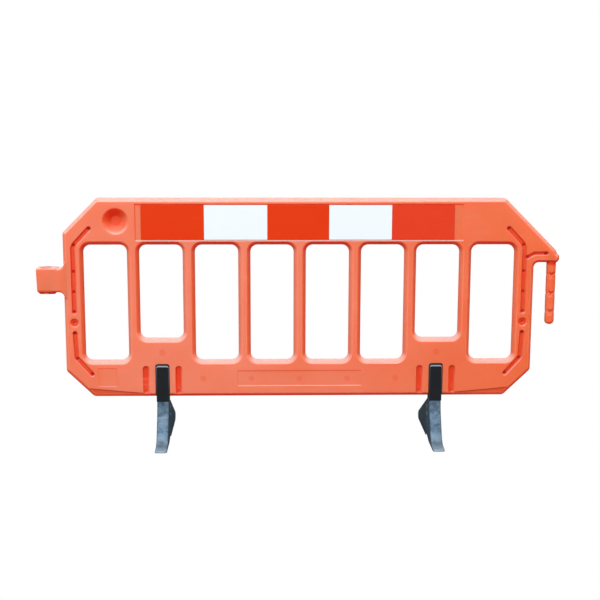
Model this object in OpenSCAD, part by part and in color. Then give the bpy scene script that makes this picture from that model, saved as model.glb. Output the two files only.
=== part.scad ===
// Pedestrian barrier panel for road works: a hollow moulded panel with eight
// windows, a row of reflective sheets, a link socket at its left end and a link
// peg at its right end, standing on two push-fit steel feet.
// X runs along the panel, Y from the toe side to the heel side, Z is up.
// The origin is on the ground, at the centre of the whole object's plan.

/* [Panel] */
// Length of the panel between the outer edges of its end posts
panel_w = 1884; // [1850:2:2000]
// Height of the top edge above the ground
panel_top = 1000; // [960:1:1080]
// Height of the bottom edge above the ground
panel_bottom = 190; // [180:1:210]
// Thickness of the moulding
panel_t = 48; // [44:1:60]
// Wall of the hollow moulding
wall_t = 4; // [3:0.5:5]
// Bevel along the outline and round the windows
edge_bevel = 12; // [8:1:14]
// Bevel along the 45 degree cuts of the outline
cut_bevel = 12.5; // [8.5:1:14.5]
// Bevel along the bottom edge
bottom_bevel = 7; // [4:1:10]
// Leg of the 45 degree cut at the top corner over the socket
socket_corner_cut = 137; // [120:1:150]
// Leg of the 45 degree cut at the top corner over the peg
peg_corner_cut = 122; // [110:1:135]
// Leg of the 45 degree cuts at the bottom corners
bottom_corner_cut = 109; // [90:1:120]

/* [Windows] */
// Width of a window
window_w = 174.4; // [150:0.2:185]
// Distance between the centres of neighbouring windows
window_pitch = 221.9; // [210:0.1:225]
// Radius of the windows' corners
window_r = 29; // [15:1:45]
// Least width of an end post beside the outer windows
end_post_least = 60; // [50:1:75]
// Height of the rail above the windows
top_rail_h = 185.5; // [175:0.5:220]
// Height of the rail below the windows
bottom_rail_h = 152.5; // [140:0.5:180]
// Height of the rail below the two windows that stand over the feet
foot_rail_h = 242.7; // [225:0.1:280]

/* [Face details] */
// Bare margin of the recess beyond each end of the row of sheets
sheet_end_margin = 20; // [10:1:40]
// Depth of the recess for the sheets
sheet_recess_depth = 2.5; // [1:0.1:3]
// Width of one sheet
sheet_w = 250; // [230:1:254]
// Height of one sheet
sheet_h = 140; // [120:1:142]
// Thickness of one sheet
sheet_t = 1; // [0.5:0.1:1.5]
// Distance from the top edge of the panel down to the sheets
sheet_drop = 27; // [24:1:30]
// Sideways offset of the row of sheets in its recess
sheet_shift = -9; // [-15:1:15]
// Diameter of the round dish at the panel's face
dish_d = 104; // [80:1:115]
// Diameter of the dish's flat floor
dish_floor_d = 43; // [30:1:60]
// Depth of the dish
dish_depth = 30; // [15:1:34]
// Width of the grooves on the end posts
groove_w = 17; // [10:1:22]
// Diameter of the round pits at the grooves' ends and bends
groove_pit_d = 20; // [12:1:26]
// Depth of the grooves on the end posts
groove_depth = 5; // [3:0.5:7]
// Distance from the post's outer edge to its groove
groove_inset = 40; // [34:1:44]
// Diameter of the dimple between the grooves
dimple_d = 34; // [20:1:40]
// Width of the bare plate recess on the bottom rail
plate_w = 504; // [400:2:560]
// Height of the bare plate recess
plate_h = 64; // [50:1:70]
// Depth of the bare plate recess
plate_depth = 2; // [1:0.5:3]

/* [Links] */
// Outer length of the link socket, along the panel
socket_l = 89; // [76:1:100]
// Outer depth of the link socket, across the panel
socket_depth = 64; // [58:1:80]
// Height of the link socket
socket_h = 112; // [80:1:140]
// Diameter of the socket's bore
socket_bore_d = 46; // [42:0.5:48]
// Length of the neck between the socket and the end post
socket_neck = 23; // [15:1:35]
// Drop from the panel's top edge to the top of the socket
socket_drop = 275; // [265:1:320]
// Diameter of the link peg
peg_d = 39; // [30:0.5:40]
// Length of the link peg below its arm
peg_l = 251; // [180:1:280]
// Distance from the end post's edge to the peg's axis
peg_offset = 73.5; // [66:0.5:85]
// Reach of the peg's arm past the end post's edge
arm_reach = 103; // [100:1:115]
// Drop from the panel's top edge to the underside of the peg's arm
arm_drop = 262; // [250:1:275]

/* [Feet] */
// Reach of the toe in front of the panel's front face
toe_reach = 150; // [130:1:180]
// Reach of the heel behind the panel's front face
heel_reach = 350; // [320:1:400]
// Width of the steel foot
foot_w = 48; // [40:1:60]
// Thickness of the steel
steel_t = 3; // [2:0.5:4]
// Height of the foot's shoulders, where its sleeves stand
shoulder_z = 172; // [160:1:176]
// Radius of the heel's corner
heel_r = 18.5; // [10:0.5:25]
// Height of the relief between the toe's and the heel's contact with the ground
relief_h = 13; // [6:1:20]
// Width of a sleeve
sleeve_w = 51; // [50:0.5:58]
// Thickness of a sleeve
sleeve_t = 9; // [8:0.5:12]
// Height of a sleeve
sleeve_h = 152; // [120:1:180]
// How far a sleeve stands proud of the panel's face
sleeve_proud = 2; // [1:0.5:4]
// Radius of a sleeve's top corners
sleeve_r = 8; // [4:1:12]
// Width of the two grooves beside each sleeve
rib_w = 29; // [20:1:34]
// Depth of the grooves beside each sleeve
rib_depth = 8; // [4:0.5:10]
// Distance from the sleeve's centre to the grooves beside it
rib_offset = 66; // [60:1:75]
// Diameter of the bolts that hold the rear arm
bolt_d = 8; // [6:1:10]

/* [Hidden] */
$fn = 48;

// How far a cut runs past the face that it opens
overrun = 2;
// Running clearance between a sleeve and its recess
sleeve_fit = 0.3;
// Clearance of an arm inside its sleeve
arm_fit = 0.2;
// Closed end of a sleeve above its arm
sleeve_cap = 3;
// Gap between neighbouring sheets
sheet_gap = 0.5;
// Bare margin of the recess above and below the sheets
sheet_margin = 5;
// Segments in a quarter turn of a sampled arc
arc_steps = 6;

half_t = panel_t / 2;
half_w = panel_w / 2;
window_top = panel_top - top_rail_h;
window_sill = panel_bottom + bottom_rail_h;
foot_window_sill = panel_bottom + foot_rail_h;
// As many windows as fit between the end posts, with a foot under the last but one at each end
window_count = 1 + floor((panel_w - 2 * end_post_least - window_w) / window_pitch);
last_index = (window_count - 1) / 2;
window_index = [for (i = [0 : window_count - 1]) i - last_index];
foot_index = last_index - 1;
foot_x = foot_index * window_pitch;

// The whole object's plan is centred on the origin.
socket_reach = socket_neck + socket_l;
plan_shift = [(socket_reach - arm_reach) / 2, (toe_reach - heel_reach) / 2 + half_t, 0];

// Hollow of the moulding
core_inset = edge_bevel + wall_t / 2;
core_t = panel_t - 2 * wall_t;
// How much a 45 degree cut shortens for each unit that the outline moves in
cut_inset_share = 2 - sqrt(2);

// Sheets
sheet_count = 5;
sheet_row_w = sheet_count * sheet_w + (sheet_count - 1) * sheet_gap;
sheet_mid_z = panel_top - sheet_drop - sheet_h / 2;
sheet_recess_h = sheet_h + 2 * sheet_margin;
sheet_recess_w = sheet_row_w + 2 * abs(sheet_shift) + 2 * sheet_end_margin;

// Dish, grooves and plate places
dish_inset = 211;
dish_drop = 92;
groove_x = half_w - groove_inset;
groove_leg = 65;
groove_top_drop = 191;
groove_bottom_rise = 161;
dimple_drop = 500.5;
dimple_gap = 43.5;
dimple_depth = 5;
plate_rise = 78.5;

// Link arm: the nose of its outline, as shares of its reach and of its end's height
arm_inner = 40;
arm_end_share = 0.68;
arm_nose_shares = [[0.91, 0], [1, 0.26], [0.885, 0.7]];
arm_z = panel_top - arm_drop;
arm_end_x = half_w + arm_end_share * arm_reach;
peg_slope_sum = half_w + panel_top - peg_corner_cut;
arm_end_h = peg_slope_sum - arm_end_x - arm_z;
peg_tip_r = 9;

// Link socket
socket_top = panel_top - socket_drop;
socket_x = -half_w - socket_neck - socket_l / 2;
socket_corner = 14;
neck_trim = 8;
neck_t = panel_t - 2 * edge_bevel;

// Foot: places across the panel are measured from the panel's middle plane
sleeve_outer_y = half_t + sleeve_proud;
arm_y = sleeve_outer_y - (sleeve_t - steel_t) / 2;
arm_w = foot_w - 2 * steel_t;
sleeve_top = shoulder_z + sleeve_h;
arm_top = sleeve_top - sleeve_cap - arm_fit;
recess_depth = sleeve_t - sleeve_proud + sleeve_fit;
toe_y = -half_t - toe_reach;
heel_y = heel_reach - half_t;
foot_l = toe_reach + heel_reach;
web_run = arm_y + toe_y;
// Front line of the web, as shares of its run forwards and of the shoulder's height
web_shares = [
    [0, 1], [0.09, 0.67], [0.235, 0.45], [0.45, 0.16], [0.56, 0.095], [0.78, 0.066], [1, 0.045]
];
// Relief under the flanges, as shares of the foot's length from the toe, and of its own height
relief_shares = [[0.28, 0], [0.41, 1], [0.46, 1], [0.48, 0]];
toe_corner_r = 14;
rib_top_drop = 3;

// Fasteners of the rear arm
tab_l = 38;
tab_bottom = 80;
tab_top = 145;
bolt_rows = [97, 128];
bolt_back = 24;
hole_fit = 0.2;
thread_fit = 0.1;
head_d_share = 2.4;
head_h_share = 0.45;
washer_d_share = 2;
nut_across_share = 1.625;
nut_h_share = 0.8;
head_d = head_d_share * bolt_d;
head_h = head_h_share * bolt_d;
washer_d = washer_d_share * bolt_d;
washer_t = 1.6;
nut_across = nut_across_share * bolt_d;
nut_h = nut_h_share * bolt_d;
bolt_tail = 2;
bolt_y = arm_y + bolt_back;
grip_t = 2 * steel_t;

// Points on an arc, from one angle to another
function arc(centre, r, from, to) =
    let (steps = ceil(abs(to - from) / 90 * arc_steps))
    [for (i = [0 : steps]) let (a = from + (to - from) * i / steps) centre + r * [cos(a), sin(a)]];

// Panel outline, moved inwards by an even inset
function panel_outline(inset) =
    let (
        x = half_w - inset,
        low = panel_bottom + inset,
        high = panel_top - inset,
        trim = inset * cut_inset_share,
        bottom_cut = bottom_corner_cut - trim,
        peg_cut = peg_corner_cut - trim,
        socket_cut = socket_corner_cut - trim
    )
    [
        [-x + bottom_cut, low], [x - bottom_cut, low], [x, low + bottom_cut], [x, high - peg_cut],
        [x - peg_cut, high], [-x + socket_cut, high], [-x, high - socket_cut], [-x, low + bottom_cut]
    ];

// Outline of the peg's arm, from inside the end post to its rounded nose
function arm_outline() = concat(
    [[half_w - arm_inner, arm_z]],
    [for (s = arm_nose_shares) [half_w + s.x * arm_reach, arm_z + s.y * arm_end_h]],
    [[arm_end_x, arm_z + arm_end_h], [half_w - arm_inner, peg_slope_sum - half_w + arm_inner]]
);

// Line parallel to a line of points, at a distance to its left
function unit(v) = v / norm(v);
function left_of(v) = [-v.y, v.x];
function side_normal(line, i) =
    let (
        last = len(line) - 1,
        before = left_of(unit(line[max(i, 1)] - line[max(i, 1) - 1])),
        after = left_of(unit(line[min(i, last - 1) + 1] - line[min(i, last - 1)]))
    )
    (before + after) / (1 + before * after);
function beside(line, distance) = [for (i = [0 : len(line) - 1]) line[i] + distance * side_normal(line, i)];
function backwards(line) = [for (i = [len(line) - 1 : -1 : 0]) line[i]];

// The panel is drawn lying flat, front face up, and then stood up.
module stand_up() {
    translate(plan_shift) rotate([90, 0, 0]) children();
}

// Cut that opens on the front face of the flat panel
module face_cut(depth) {
    translate([0, 0, half_t - depth]) linear_extrude(depth + overrun) children();
}

module on_both_faces() {
    for (side = [0, 1]) mirror([0, 0, side]) children();
}

module at_both_ends() {
    for (side = [0, 1]) mirror([side, 0, 0]) children();
}

// Wedge that bevels one straight edge of a flat plate on both faces
module edge_wedge(from, to, bevel) {
    run = to - from;
    translate(from) rotate([0, 0, atan2(run.y, run.x)])
        on_both_faces()
            translate([-bevel, 0, 0]) rotate([90, 0, 90])
                linear_extrude(norm(run) + 2 * bevel)
                    polygon([
                        [-overrun, half_t - bevel - overrun],
                        [-overrun, half_t + overrun],
                        [bevel + overrun, half_t + overrun]
                    ]);
}

// Flat plate with a bevel along each named edge of its convex outline
module bevelled_plate(outline, bevels) {
    difference() {
        linear_extrude(panel_t, center = true) polygon(outline);
        for (i = [0 : len(outline) - 1])
            if (bevels[i] > 0)
                edge_wedge(outline[i], outline[(i + 1) % len(outline)], bevels[i]);
    }
}

module rounded_slab(w, h, r, t) {
    linear_extrude(t, center = true) {
        square([w - 2 * r, h], center = true);
        square([w, h - 2 * r], center = true);
        for (x = [-1, 1], y = [-1, 1]) translate([x * (w / 2 - r), y * (h / 2 - r)]) circle(r);
    }
}

// Flare of a window's edge towards the front face
module window_flare(w, h) {
    flare = edge_bevel + overrun;
    low = half_t - edge_bevel;
    high = half_t + overrun;
    rotate([90, 0, 90])
        linear_extrude(w - 2 * window_r, center = true)
            polygon([[-h / 2, low], [h / 2, low], [h / 2 + flare, high], [-h / 2 - flare, high]]);
    rotate([90, 0, 0])
        linear_extrude(h - 2 * window_r, center = true)
            polygon([[-w / 2, low], [w / 2, low], [w / 2 + flare, high], [-w / 2 - flare, high]]);
    for (x = [-1, 1], y = [-1, 1])
        translate([x * (w / 2 - window_r), y * (h / 2 - window_r), low])
            cylinder(h = flare, r1 = window_r, r2 = window_r + flare);
}

function sill_of(index) = abs(index) == foot_index ? foot_window_sill : window_sill;

module windows() {
    for (index = window_index) {
        sill = sill_of(index);
        translate([index * window_pitch, (window_top + sill) / 2, 0]) {
            rounded_slab(window_w, window_top - sill, window_r, panel_t + 2 * overrun);
            on_both_faces() window_flare(window_w, window_top - sill);
        }
    }
}

// Straight groove with a round pit at each end
module groove(from, to, grow) {
    run = to - from;
    width = groove_w + 2 * grow;
    for (end = [from, to]) translate(end) circle(d = groove_pit_d + 2 * grow);
    translate(from) rotate(atan2(run.y, run.x)) translate([0, -width / 2]) square([norm(run), width]);
}

module post_grooves(grow) {
    top_bend = [groove_x, panel_top - groove_top_drop];
    bottom_bend = [groove_x, panel_bottom + groove_bottom_rise];
    dimple = [groove_x, panel_top - dimple_drop];
    at_both_ends() {
        face_cut(groove_depth + grow) {
            groove(top_bend + groove_leg * [-1, 1], top_bend, grow);
            groove(top_bend, dimple + [0, dimple_gap], grow);
            groove(dimple - [0, dimple_gap], bottom_bend, grow);
            groove(bottom_bend, bottom_bend - groove_leg * [1, 1], grow);
        }
        translate(dimple) translate([0, 0, half_t - dimple_depth - grow])
            cylinder(h = dimple_depth + grow + overrun, d = dimple_d + 2 * grow);
    }
}

module dish(grow) {
    slope = (dish_d - dish_floor_d) / 2 / dish_depth;
    depth = dish_depth + grow;
    translate([dish_inset - half_w, panel_top - dish_drop, half_t - depth])
        cylinder(
            h = depth + overrun,
            r1 = dish_floor_d / 2 + grow,
            r2 = dish_floor_d / 2 + grow + slope * (depth + overrun)
        );
}

module sheet_recess(grow) {
    translate([0, sheet_mid_z]) face_cut(sheet_recess_depth + grow)
        square([sheet_recess_w + 2 * grow, sheet_recess_h + 2 * grow], center = true);
}

module plate_recess(grow) {
    translate([0, panel_bottom + plate_rise]) face_cut(plate_depth + grow)
        square([plate_w + 2 * grow, plate_h + 2 * grow], center = true);
}

// Recesses for one foot's two sleeves, with a groove on each side of them
module foot_recesses(grow) {
    low = panel_bottom - overrun;
    high = sleeve_top + grow;
    recess_w = sleeve_w + 2 * sleeve_fit + 2 * grow;
    rib_full_w = rib_w + 2 * grow;
    rib_high = high - rib_top_drop - rib_full_w / 2;
    at_both_ends() translate([foot_x, 0]) on_both_faces() {
        face_cut(recess_depth + grow)
            translate([-recess_w / 2, low]) square([recess_w, high - low]);
        face_cut(rib_depth + grow)
            for (side = [-1, 1]) translate([side * rib_offset, 0]) {
                translate([-rib_full_w / 2, low]) square([rib_full_w, rib_high - low]);
                translate([0, rib_high]) circle(d = rib_full_w);
            }
    }
}

module face_details(grow) {
    sheet_recess(grow);
    plate_recess(grow);
    dish(grow);
    post_grooves(grow);
    foot_recesses(grow);
}

// Hollow of the moulding: it follows the outline and keeps a wall behind each face detail
module hollow() {
    difference() {
        linear_extrude(core_t, center = true) difference() {
            polygon(panel_outline(core_inset));
            for (index = window_index) {
                low = sill_of(index) - core_inset;
                translate([index * window_pitch - window_w / 2 - core_inset, low])
                    square([window_w + 2 * core_inset, window_top + core_inset - low]);
            }
        }
        face_details(wall_t);
    }
}

// Socket block on a neck, standing out from the left end post; its bore is vertical
module link_socket() {
    rotate([-90, 0, 0]) translate([socket_x, 0, socket_top - socket_h]) difference() {
        union() {
            linear_extrude(socket_h) difference() {
                square([socket_l, socket_depth], center = true);
                for (x = [-1, 1], y = [-1, 1])
                    translate([x * socket_l / 2, y * socket_depth / 2])
                        rotate(45) square(socket_corner, center = true);
            }
            translate([0, -neck_t / 2, neck_trim])
                cube([socket_l / 2 + socket_neck + edge_bevel, neck_t, socket_h - 2 * neck_trim]);
        }
        translate([0, 0, -overrun]) cylinder(h = socket_h + 2 * overrun, d = socket_bore_d);
    }
}

// Arm that reaches out from the right end post, with the link peg under it
module link_arm() {
    bevelled_plate(arm_outline(), [0, edge_bevel, cut_bevel, edge_bevel, cut_bevel, 0]);
    rotate([-90, 0, 0]) translate([half_w + peg_offset, 0, arm_z - peg_l]) {
        cylinder(h = peg_tip_r, r1 = peg_d / 2 - peg_tip_r, r2 = peg_d / 2);
        translate([0, 0, peg_tip_r]) cylinder(h = peg_l - peg_tip_r + edge_bevel, d = peg_d);
    }
}

module panel() {
    color([0.94, 0.44, 0.28]) stand_up() {
        difference() {
            bevelled_plate(
                panel_outline(0),
                [bottom_bevel, cut_bevel, edge_bevel, cut_bevel, edge_bevel, cut_bevel, edge_bevel, cut_bevel]
            );
            windows();
            face_details(0);
            hollow();
        }
        link_socket();
        link_arm();
    }
}

// One reflective sheet, counted from the left, stuck to the floor of its recess
module sheet(place) {
    left = sheet_shift - sheet_row_w / 2 + place * (sheet_w + sheet_gap);
    stand_up() translate([left, sheet_mid_z - sheet_h / 2, half_t - sheet_recess_depth])
        cube([sheet_w, sheet_h, sheet_t]);
}

module red_sheet(place) {
    color([0.9, 0.22, 0.1]) sheet(place);
}

module white_sheet(place) {
    color([0.94, 0.96, 0.98]) sheet(place);
}

// Places a foot's piece under the panel, at the left end or the right end
module at_foot(end) {
    translate(plan_shift + [end * foot_x, 0, 0]) children();
}

// Slab drawn by its side view and centred across the foot
module side_slab(width) {
    rotate([90, 0, 90]) linear_extrude(width, center = true) children();
}

module bolt_places() {
    for (side = [0, 1]) mirror([side, 0, 0])
        for (z = bolt_rows)
            translate([foot_w / 2, bolt_y, z]) rotate([0, -90, 0]) children();
}

module bolt_holes() {
    bolt_places() translate([0, 0, -overrun]) cylinder(h = grip_t + 2 * overrun, d = bolt_d + 2 * hole_fit);
}

function web_line() = [for (s = web_shares) [s.x * web_run - arm_y, s.y * shoulder_z]];

function flange_outline() =
    let (
        heel = [heel_y - heel_r, heel_r],
        crest = [sleeve_outer_y, shoulder_z],
        reach = heel - crest,
        turn = atan2(reach.y, reach.x) + asin(heel_r / norm(reach)) + 90
    )
    concat(
        web_line(),
        [[toe_y, 0]],
        [for (s = relief_shares) [toe_y + s.x * foot_l, s.y * relief_h]],
        arc(heel, heel_r, -90, turn),
        [crest]
    );

// Plan of the foot, with the toe's two corners rounded
function foot_plan() =
    let (half = foot_w / 2, turn_y = toe_y + toe_corner_r, turn_x = half - toe_corner_r)
    concat(
        [[half, heel_y], [-half, heel_y]],
        arc([-turn_x, turn_y], toe_corner_r, 180, 270),
        arc([turn_x, turn_y], toe_corner_r, 270, 360)
    );

// Folded steel foot: web, toe, two flanges and the front arm in one piece
module foot_plate() {
    line = web_line();
    color([0.55, 0.62, 0.69]) difference() {
        union() {
            intersection() {
                union() {
                    side_slab(foot_w) polygon(concat(line, backwards(beside(line, steel_t))));
                    for (side = [-1, 1])
                        translate([side * (foot_w - steel_t) / 2, 0, 0])
                            side_slab(steel_t) polygon(flange_outline());
                }
                linear_extrude(shoulder_z) polygon(foot_plan());
            }
            translate([-arm_w / 2, -arm_y, shoulder_z - steel_t])
                cube([arm_w, steel_t, arm_top - shoulder_z + steel_t]);
        }
        bolt_holes();
    }
}

// Rear arm of the fork, with two tabs that lie against the flanges
module rear_arm() {
    color([0.55, 0.62, 0.69]) difference() {
        union() {
            translate([-arm_w / 2, arm_y - steel_t, tab_bottom])
                cube([arm_w, steel_t, arm_top - tab_bottom]);
            for (side = [0, 1]) mirror([side, 0, 0])
                translate([arm_w / 2 - steel_t, arm_y - steel_t, tab_bottom])
                    cube([steel_t, tab_l + steel_t, tab_top - tab_bottom]);
        }
        bolt_holes();
    }
}

// Sleeve closed at its top, with a slot for its arm
module sleeve() {
    half = sleeve_w / 2;
    slot = [arm_w + 2 * arm_fit, steel_t + 2 * arm_fit];
    outline = concat(
        [[-half, 0], [half, 0]],
        arc([half - sleeve_r, sleeve_h - sleeve_r], sleeve_r, 0, 90),
        arc([sleeve_r - half, sleeve_h - sleeve_r], sleeve_r, 90, 180)
    );
    color([0.11, 0.12, 0.14]) translate([0, 0, shoulder_z]) difference() {
        translate([0, sleeve_t - sleeve_outer_y, 0]) rotate([90, 0, 0])
            linear_extrude(sleeve_t) polygon(outline);
        translate([-slot.x / 2, -arm_y - arm_fit, -overrun])
            cube([slot.x, slot.y, sleeve_h - sleeve_cap + overrun]);
    }
}

module rear_sleeve() {
    mirror([0, 1, 0]) sleeve();
}

// Round-headed bolts through the flanges and the rear arm's tabs
module foot_bolts() {
    color([0.72, 0.74, 0.76]) bolt_places() {
        rotate([180, 0, 0]) cylinder(h = head_h, d1 = head_d, d2 = bolt_d);
        cylinder(h = grip_t + washer_t + nut_h + bolt_tail, d = bolt_d);
    }
}

module foot_washers() {
    color([0.72, 0.74, 0.76]) bolt_places() translate([0, 0, grip_t]) difference() {
        cylinder(h = washer_t, d = washer_d);
        translate([0, 0, -overrun]) cylinder(h = washer_t + 2 * overrun, d = bolt_d + 2 * hole_fit);
    }
}

module foot_nuts() {
    color([0.72, 0.74, 0.76]) bolt_places() translate([0, 0, grip_t + washer_t]) difference() {
        cylinder(h = nut_h, d = nut_across / cos(30), $fn = 6);
        translate([0, 0, -overrun]) cylinder(h = nut_h + 2 * overrun, d = bolt_d + 2 * thread_fit);
    }
}

panel();
red_sheet(0);  // red_sheet_left
white_sheet(1);  // white_sheet_left
red_sheet(2);  // red_sheet_centre
white_sheet(3);  // white_sheet_right
red_sheet(4);  // red_sheet_right
at_foot(-1) foot_plate();  // left_foot_plate
at_foot(-1) sleeve();  // left_front_sleeve
at_foot(-1) rear_arm();  // left_rear_arm
at_foot(-1) rear_sleeve();  // left_rear_sleeve
at_foot(-1) foot_bolts();  // left_foot_bolts
at_foot(-1) foot_washers();  // left_foot_washers
at_foot(-1) foot_nuts();  // left_foot_nuts
at_foot(1) foot_plate();  // right_foot_plate
at_foot(1) sleeve();  // right_front_sleeve
at_foot(1) rear_arm();  // right_rear_arm
at_foot(1) rear_sleeve();  // right_rear_sleeve
at_foot(1) foot_bolts();  // right_foot_bolts
at_foot(1) foot_washers();  // right_foot_washers
at_foot(1) foot_nuts();  // right_foot_nuts
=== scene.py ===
# %% [markdown]
# # A pedestrian barrier panel, dressed piece by piece
# A road-works barrier is one hollow moulding of orange polyethylene on two push-fit steel feet.
# The CAD frame gives every node its place and its size. This lesson makes what is seen of each
# node, as meshes in the same frame, and rides each piece on the body that carries it.
# The frame could be shown as it is, but a moulding has soft edges and shallow pressed details
# that are easier to shape as meshes than as solids.

# %% Load the frame
import math

import bpy
import numpy as np
from mathutils import Matrix, Vector
from mathutils.geometry import delaunay_2d_cdt


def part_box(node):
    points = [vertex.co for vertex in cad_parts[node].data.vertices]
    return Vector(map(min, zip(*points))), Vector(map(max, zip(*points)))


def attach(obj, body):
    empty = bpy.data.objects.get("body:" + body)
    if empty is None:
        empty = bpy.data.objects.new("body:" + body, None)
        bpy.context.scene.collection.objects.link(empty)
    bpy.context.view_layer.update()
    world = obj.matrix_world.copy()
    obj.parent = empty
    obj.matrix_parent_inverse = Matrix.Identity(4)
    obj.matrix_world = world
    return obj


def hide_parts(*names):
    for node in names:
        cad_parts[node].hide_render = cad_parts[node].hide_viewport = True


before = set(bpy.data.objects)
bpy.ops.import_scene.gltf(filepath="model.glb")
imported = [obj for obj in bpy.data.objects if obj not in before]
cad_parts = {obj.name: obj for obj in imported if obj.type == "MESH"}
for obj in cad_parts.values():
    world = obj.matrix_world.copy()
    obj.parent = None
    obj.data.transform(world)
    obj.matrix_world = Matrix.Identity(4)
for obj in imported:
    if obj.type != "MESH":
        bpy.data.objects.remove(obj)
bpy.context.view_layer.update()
MM = 0.001

# %% [markdown]
# ## Where the panel stands
# The panel's drawing has its own three directions: x along the panel from the middle of its
# windows, out from its middle plane towards the toes, and z up from the ground, in millimetres.
# The four sleeves stand evenly round the middle of the panel, so their common centre gives the
# way from the drawing to the frame. A typed offset would do, but it would not follow the frame.

# %% From the drawing to the frame
SIDES = {"left": -1, "right": 1}


def box_of(*nodes):
    """Low and high corners of the box round nodes of the frame, in millimetres."""
    corners = np.array([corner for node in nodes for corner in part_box(node)]) / MM
    return corners.min(axis=0), corners.max(axis=0)


def centre_of(*nodes):
    return sum(box_of(*nodes)) / 2


MIDDLE_X, MIDDLE_Y, _ = centre_of(
    "left_front_sleeve", "right_front_sleeve", "left_rear_sleeve", "right_rear_sleeve"
)
FOOT_X = centre_of("right_front_sleeve")[0] - MIDDLE_X


def piece(name, points, faces, body, slot, sharp=40, replaces=()):
    """Mesh object from points (x, out, z) of the drawing, riding on a body of the frame.

    Edges whose faces meet at more than the sharp angle, in degrees, stay hard.
    """
    points = np.asarray(points, float)
    placed = np.column_stack((points[:, 0] + MIDDLE_X, MIDDLE_Y - points[:, 1], points[:, 2])) * MM
    mesh = bpy.data.meshes.new(name)
    mesh.from_pydata(placed.tolist(), [], [list(map(int, face)) for face in faces])
    mesh.shade_smooth()
    mesh.set_sharp_from_angle(angle=math.radians(sharp))
    made = bpy.data.objects.new(name, mesh)
    bpy.context.scene.collection.objects.link(made)
    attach(made, body)
    if replaces:
        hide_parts(*replaces)
    return made


print("panel middle at x %.1f, y %.1f mm; feet at x +-%.2f mm" % (MIDDLE_X, MIDDLE_Y, FOOT_X))

# %% [markdown]
# ## Lines of the drawing
# Everything on the panel's face starts from a line: its outline, its windows, and the paths of
# its grooves. A line is a list of corners, each with a radius, and a closed line can be drawn
# again further in, with the corners' radii following, which is how the edges of a bevel run.

# %% Rounded lines
ARC_STEP = math.radians(11)
SMALLEST_R = 0.4
END_STEPS = 12


def left_of(direction):
    return np.array((-direction[1], direction[0]))


def unit(vector):
    return vector / np.linalg.norm(vector)


def cross(first, second):
    """Cross product of vectors in the plane, or of rows of them: above zero for a left turn."""
    return first[..., 0] * second[..., 1] - first[..., 1] * second[..., 0]


def round_points(count):
    """Even points of a circle of radius 1."""
    angles = np.linspace(0, 2 * math.pi, count, endpoint=False)
    return np.column_stack((np.cos(angles), np.sin(angles)))


def fillet(corner, before, after, r):
    """Points of the arc of radius r that rounds a corner between two unit directions."""
    turn = math.atan2(cross(before, after), np.dot(before, after))
    start = corner - r * math.tan(abs(turn) / 2) * before
    centre = start + math.copysign(r, turn) * left_of(before)
    spoke = start - centre
    steps = max(2, math.ceil(abs(turn) / ARC_STEP))
    return [
        centre + math.cos(angle) * spoke + math.sin(angle) * left_of(spoke)
        for angle in np.linspace(0, turn, steps + 1)
    ]


def closed_line(corners, insets):
    """Closed rounded line; each of its edges is moved in by its own inset."""
    places = [np.array(corner[:2], float) for corner in corners]
    runs = [unit(after - before) for before, after in zip(places, places[1:] + places[:1])]
    line = []
    for i, corner in enumerate(corners):
        before, after = runs[i - 1], runs[i]
        turn = cross(before, after)
        slide = (insets[i] - insets[i - 1] * np.dot(before, after)) / turn
        moved = places[i] + insets[i - 1] * left_of(before) - slide * before
        r = corner[2] - math.copysign(1, turn) * (insets[i - 1] + insets[i]) / 2
        line += fillet(moved, before, after, max(r, SMALLEST_R))
    return np.array(line)


def open_line(corners, r):
    """Open line through corners, rounded at its bends."""
    places = [np.array(corner, float) for corner in corners]
    line = [places[0]]
    for before, here, after in zip(places, places[1:], places[2:]):
        line += fillet(here, unit(here - before), unit(after - here), r)
    return np.array(line + [places[-1]])


def rectangle(x0, x1, z0, z1, r):
    return [(x0, z0, r), (x1, z0, r), (x1, z1, r), (x0, z1, r)]


def contour(line, distance):
    """Closed line at a distance round an open line, with round ends."""
    runs = np.diff(line, axis=0)
    runs /= np.linalg.norm(runs, axis=1)[:, None]
    along = np.vstack((runs[:1], runs[:-1] + runs[1:], runs[-1:]))
    along /= np.linalg.norm(along, axis=1)[:, None]
    side = distance * np.column_stack((-along[:, 1], along[:, 0]))
    angles = np.linspace(0, math.pi, END_STEPS + 1)[1:-1, None]
    far = line[-1] - side[-1] * np.cos(angles) + distance * along[-1] * np.sin(angles)
    near = line[0] + side[0] * np.cos(angles) - distance * along[0] * np.sin(angles)
    return np.vstack((line - side, far, (line + side)[::-1], near))


print("line tools ready, with arcs in steps of %.0f degrees" % math.degrees(ARC_STEP))

# %% [markdown]
# The depth of a pressed detail follows from the distance to its line, so a few measures of
# distance are needed. Blender's geometry nodes could measure them too, but here the drops are
# worked out for all the points at once, before there is a mesh.

# %% Distances
SHORTEST = 1e-9


def distance_to(points, line):
    """Distance from each point to a line, and the nearest place on the line."""
    start, run = line[:-1], np.diff(line, axis=0)
    length = np.maximum((run ** 2).sum(axis=1), SHORTEST)
    to_point = points[:, None, :] - start[None, :, :]
    share = np.clip((to_point * run).sum(axis=2) / length, 0, 1)
    gap = np.linalg.norm(to_point - share[:, :, None] * run, axis=2)
    nearest = gap.argmin(axis=1)
    rows = np.arange(len(points))
    return gap[rows, nearest], start[nearest] + share[rows, nearest][:, None] * run[nearest]


def rectangle_distance(points, x0, x1, z0, z1, r):
    """Distance outside a rounded rectangle, below zero inside it."""
    middle = np.array(((x0 + x1) / 2, (z0 + z1) / 2))
    half = np.array(((x1 - x0) / 2, (z1 - z0) / 2)) - r
    over = np.abs(points - middle) - half
    outside = np.linalg.norm(np.maximum(over, 0), axis=1)
    return outside + np.minimum(over.max(axis=1), 0) - r


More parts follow.
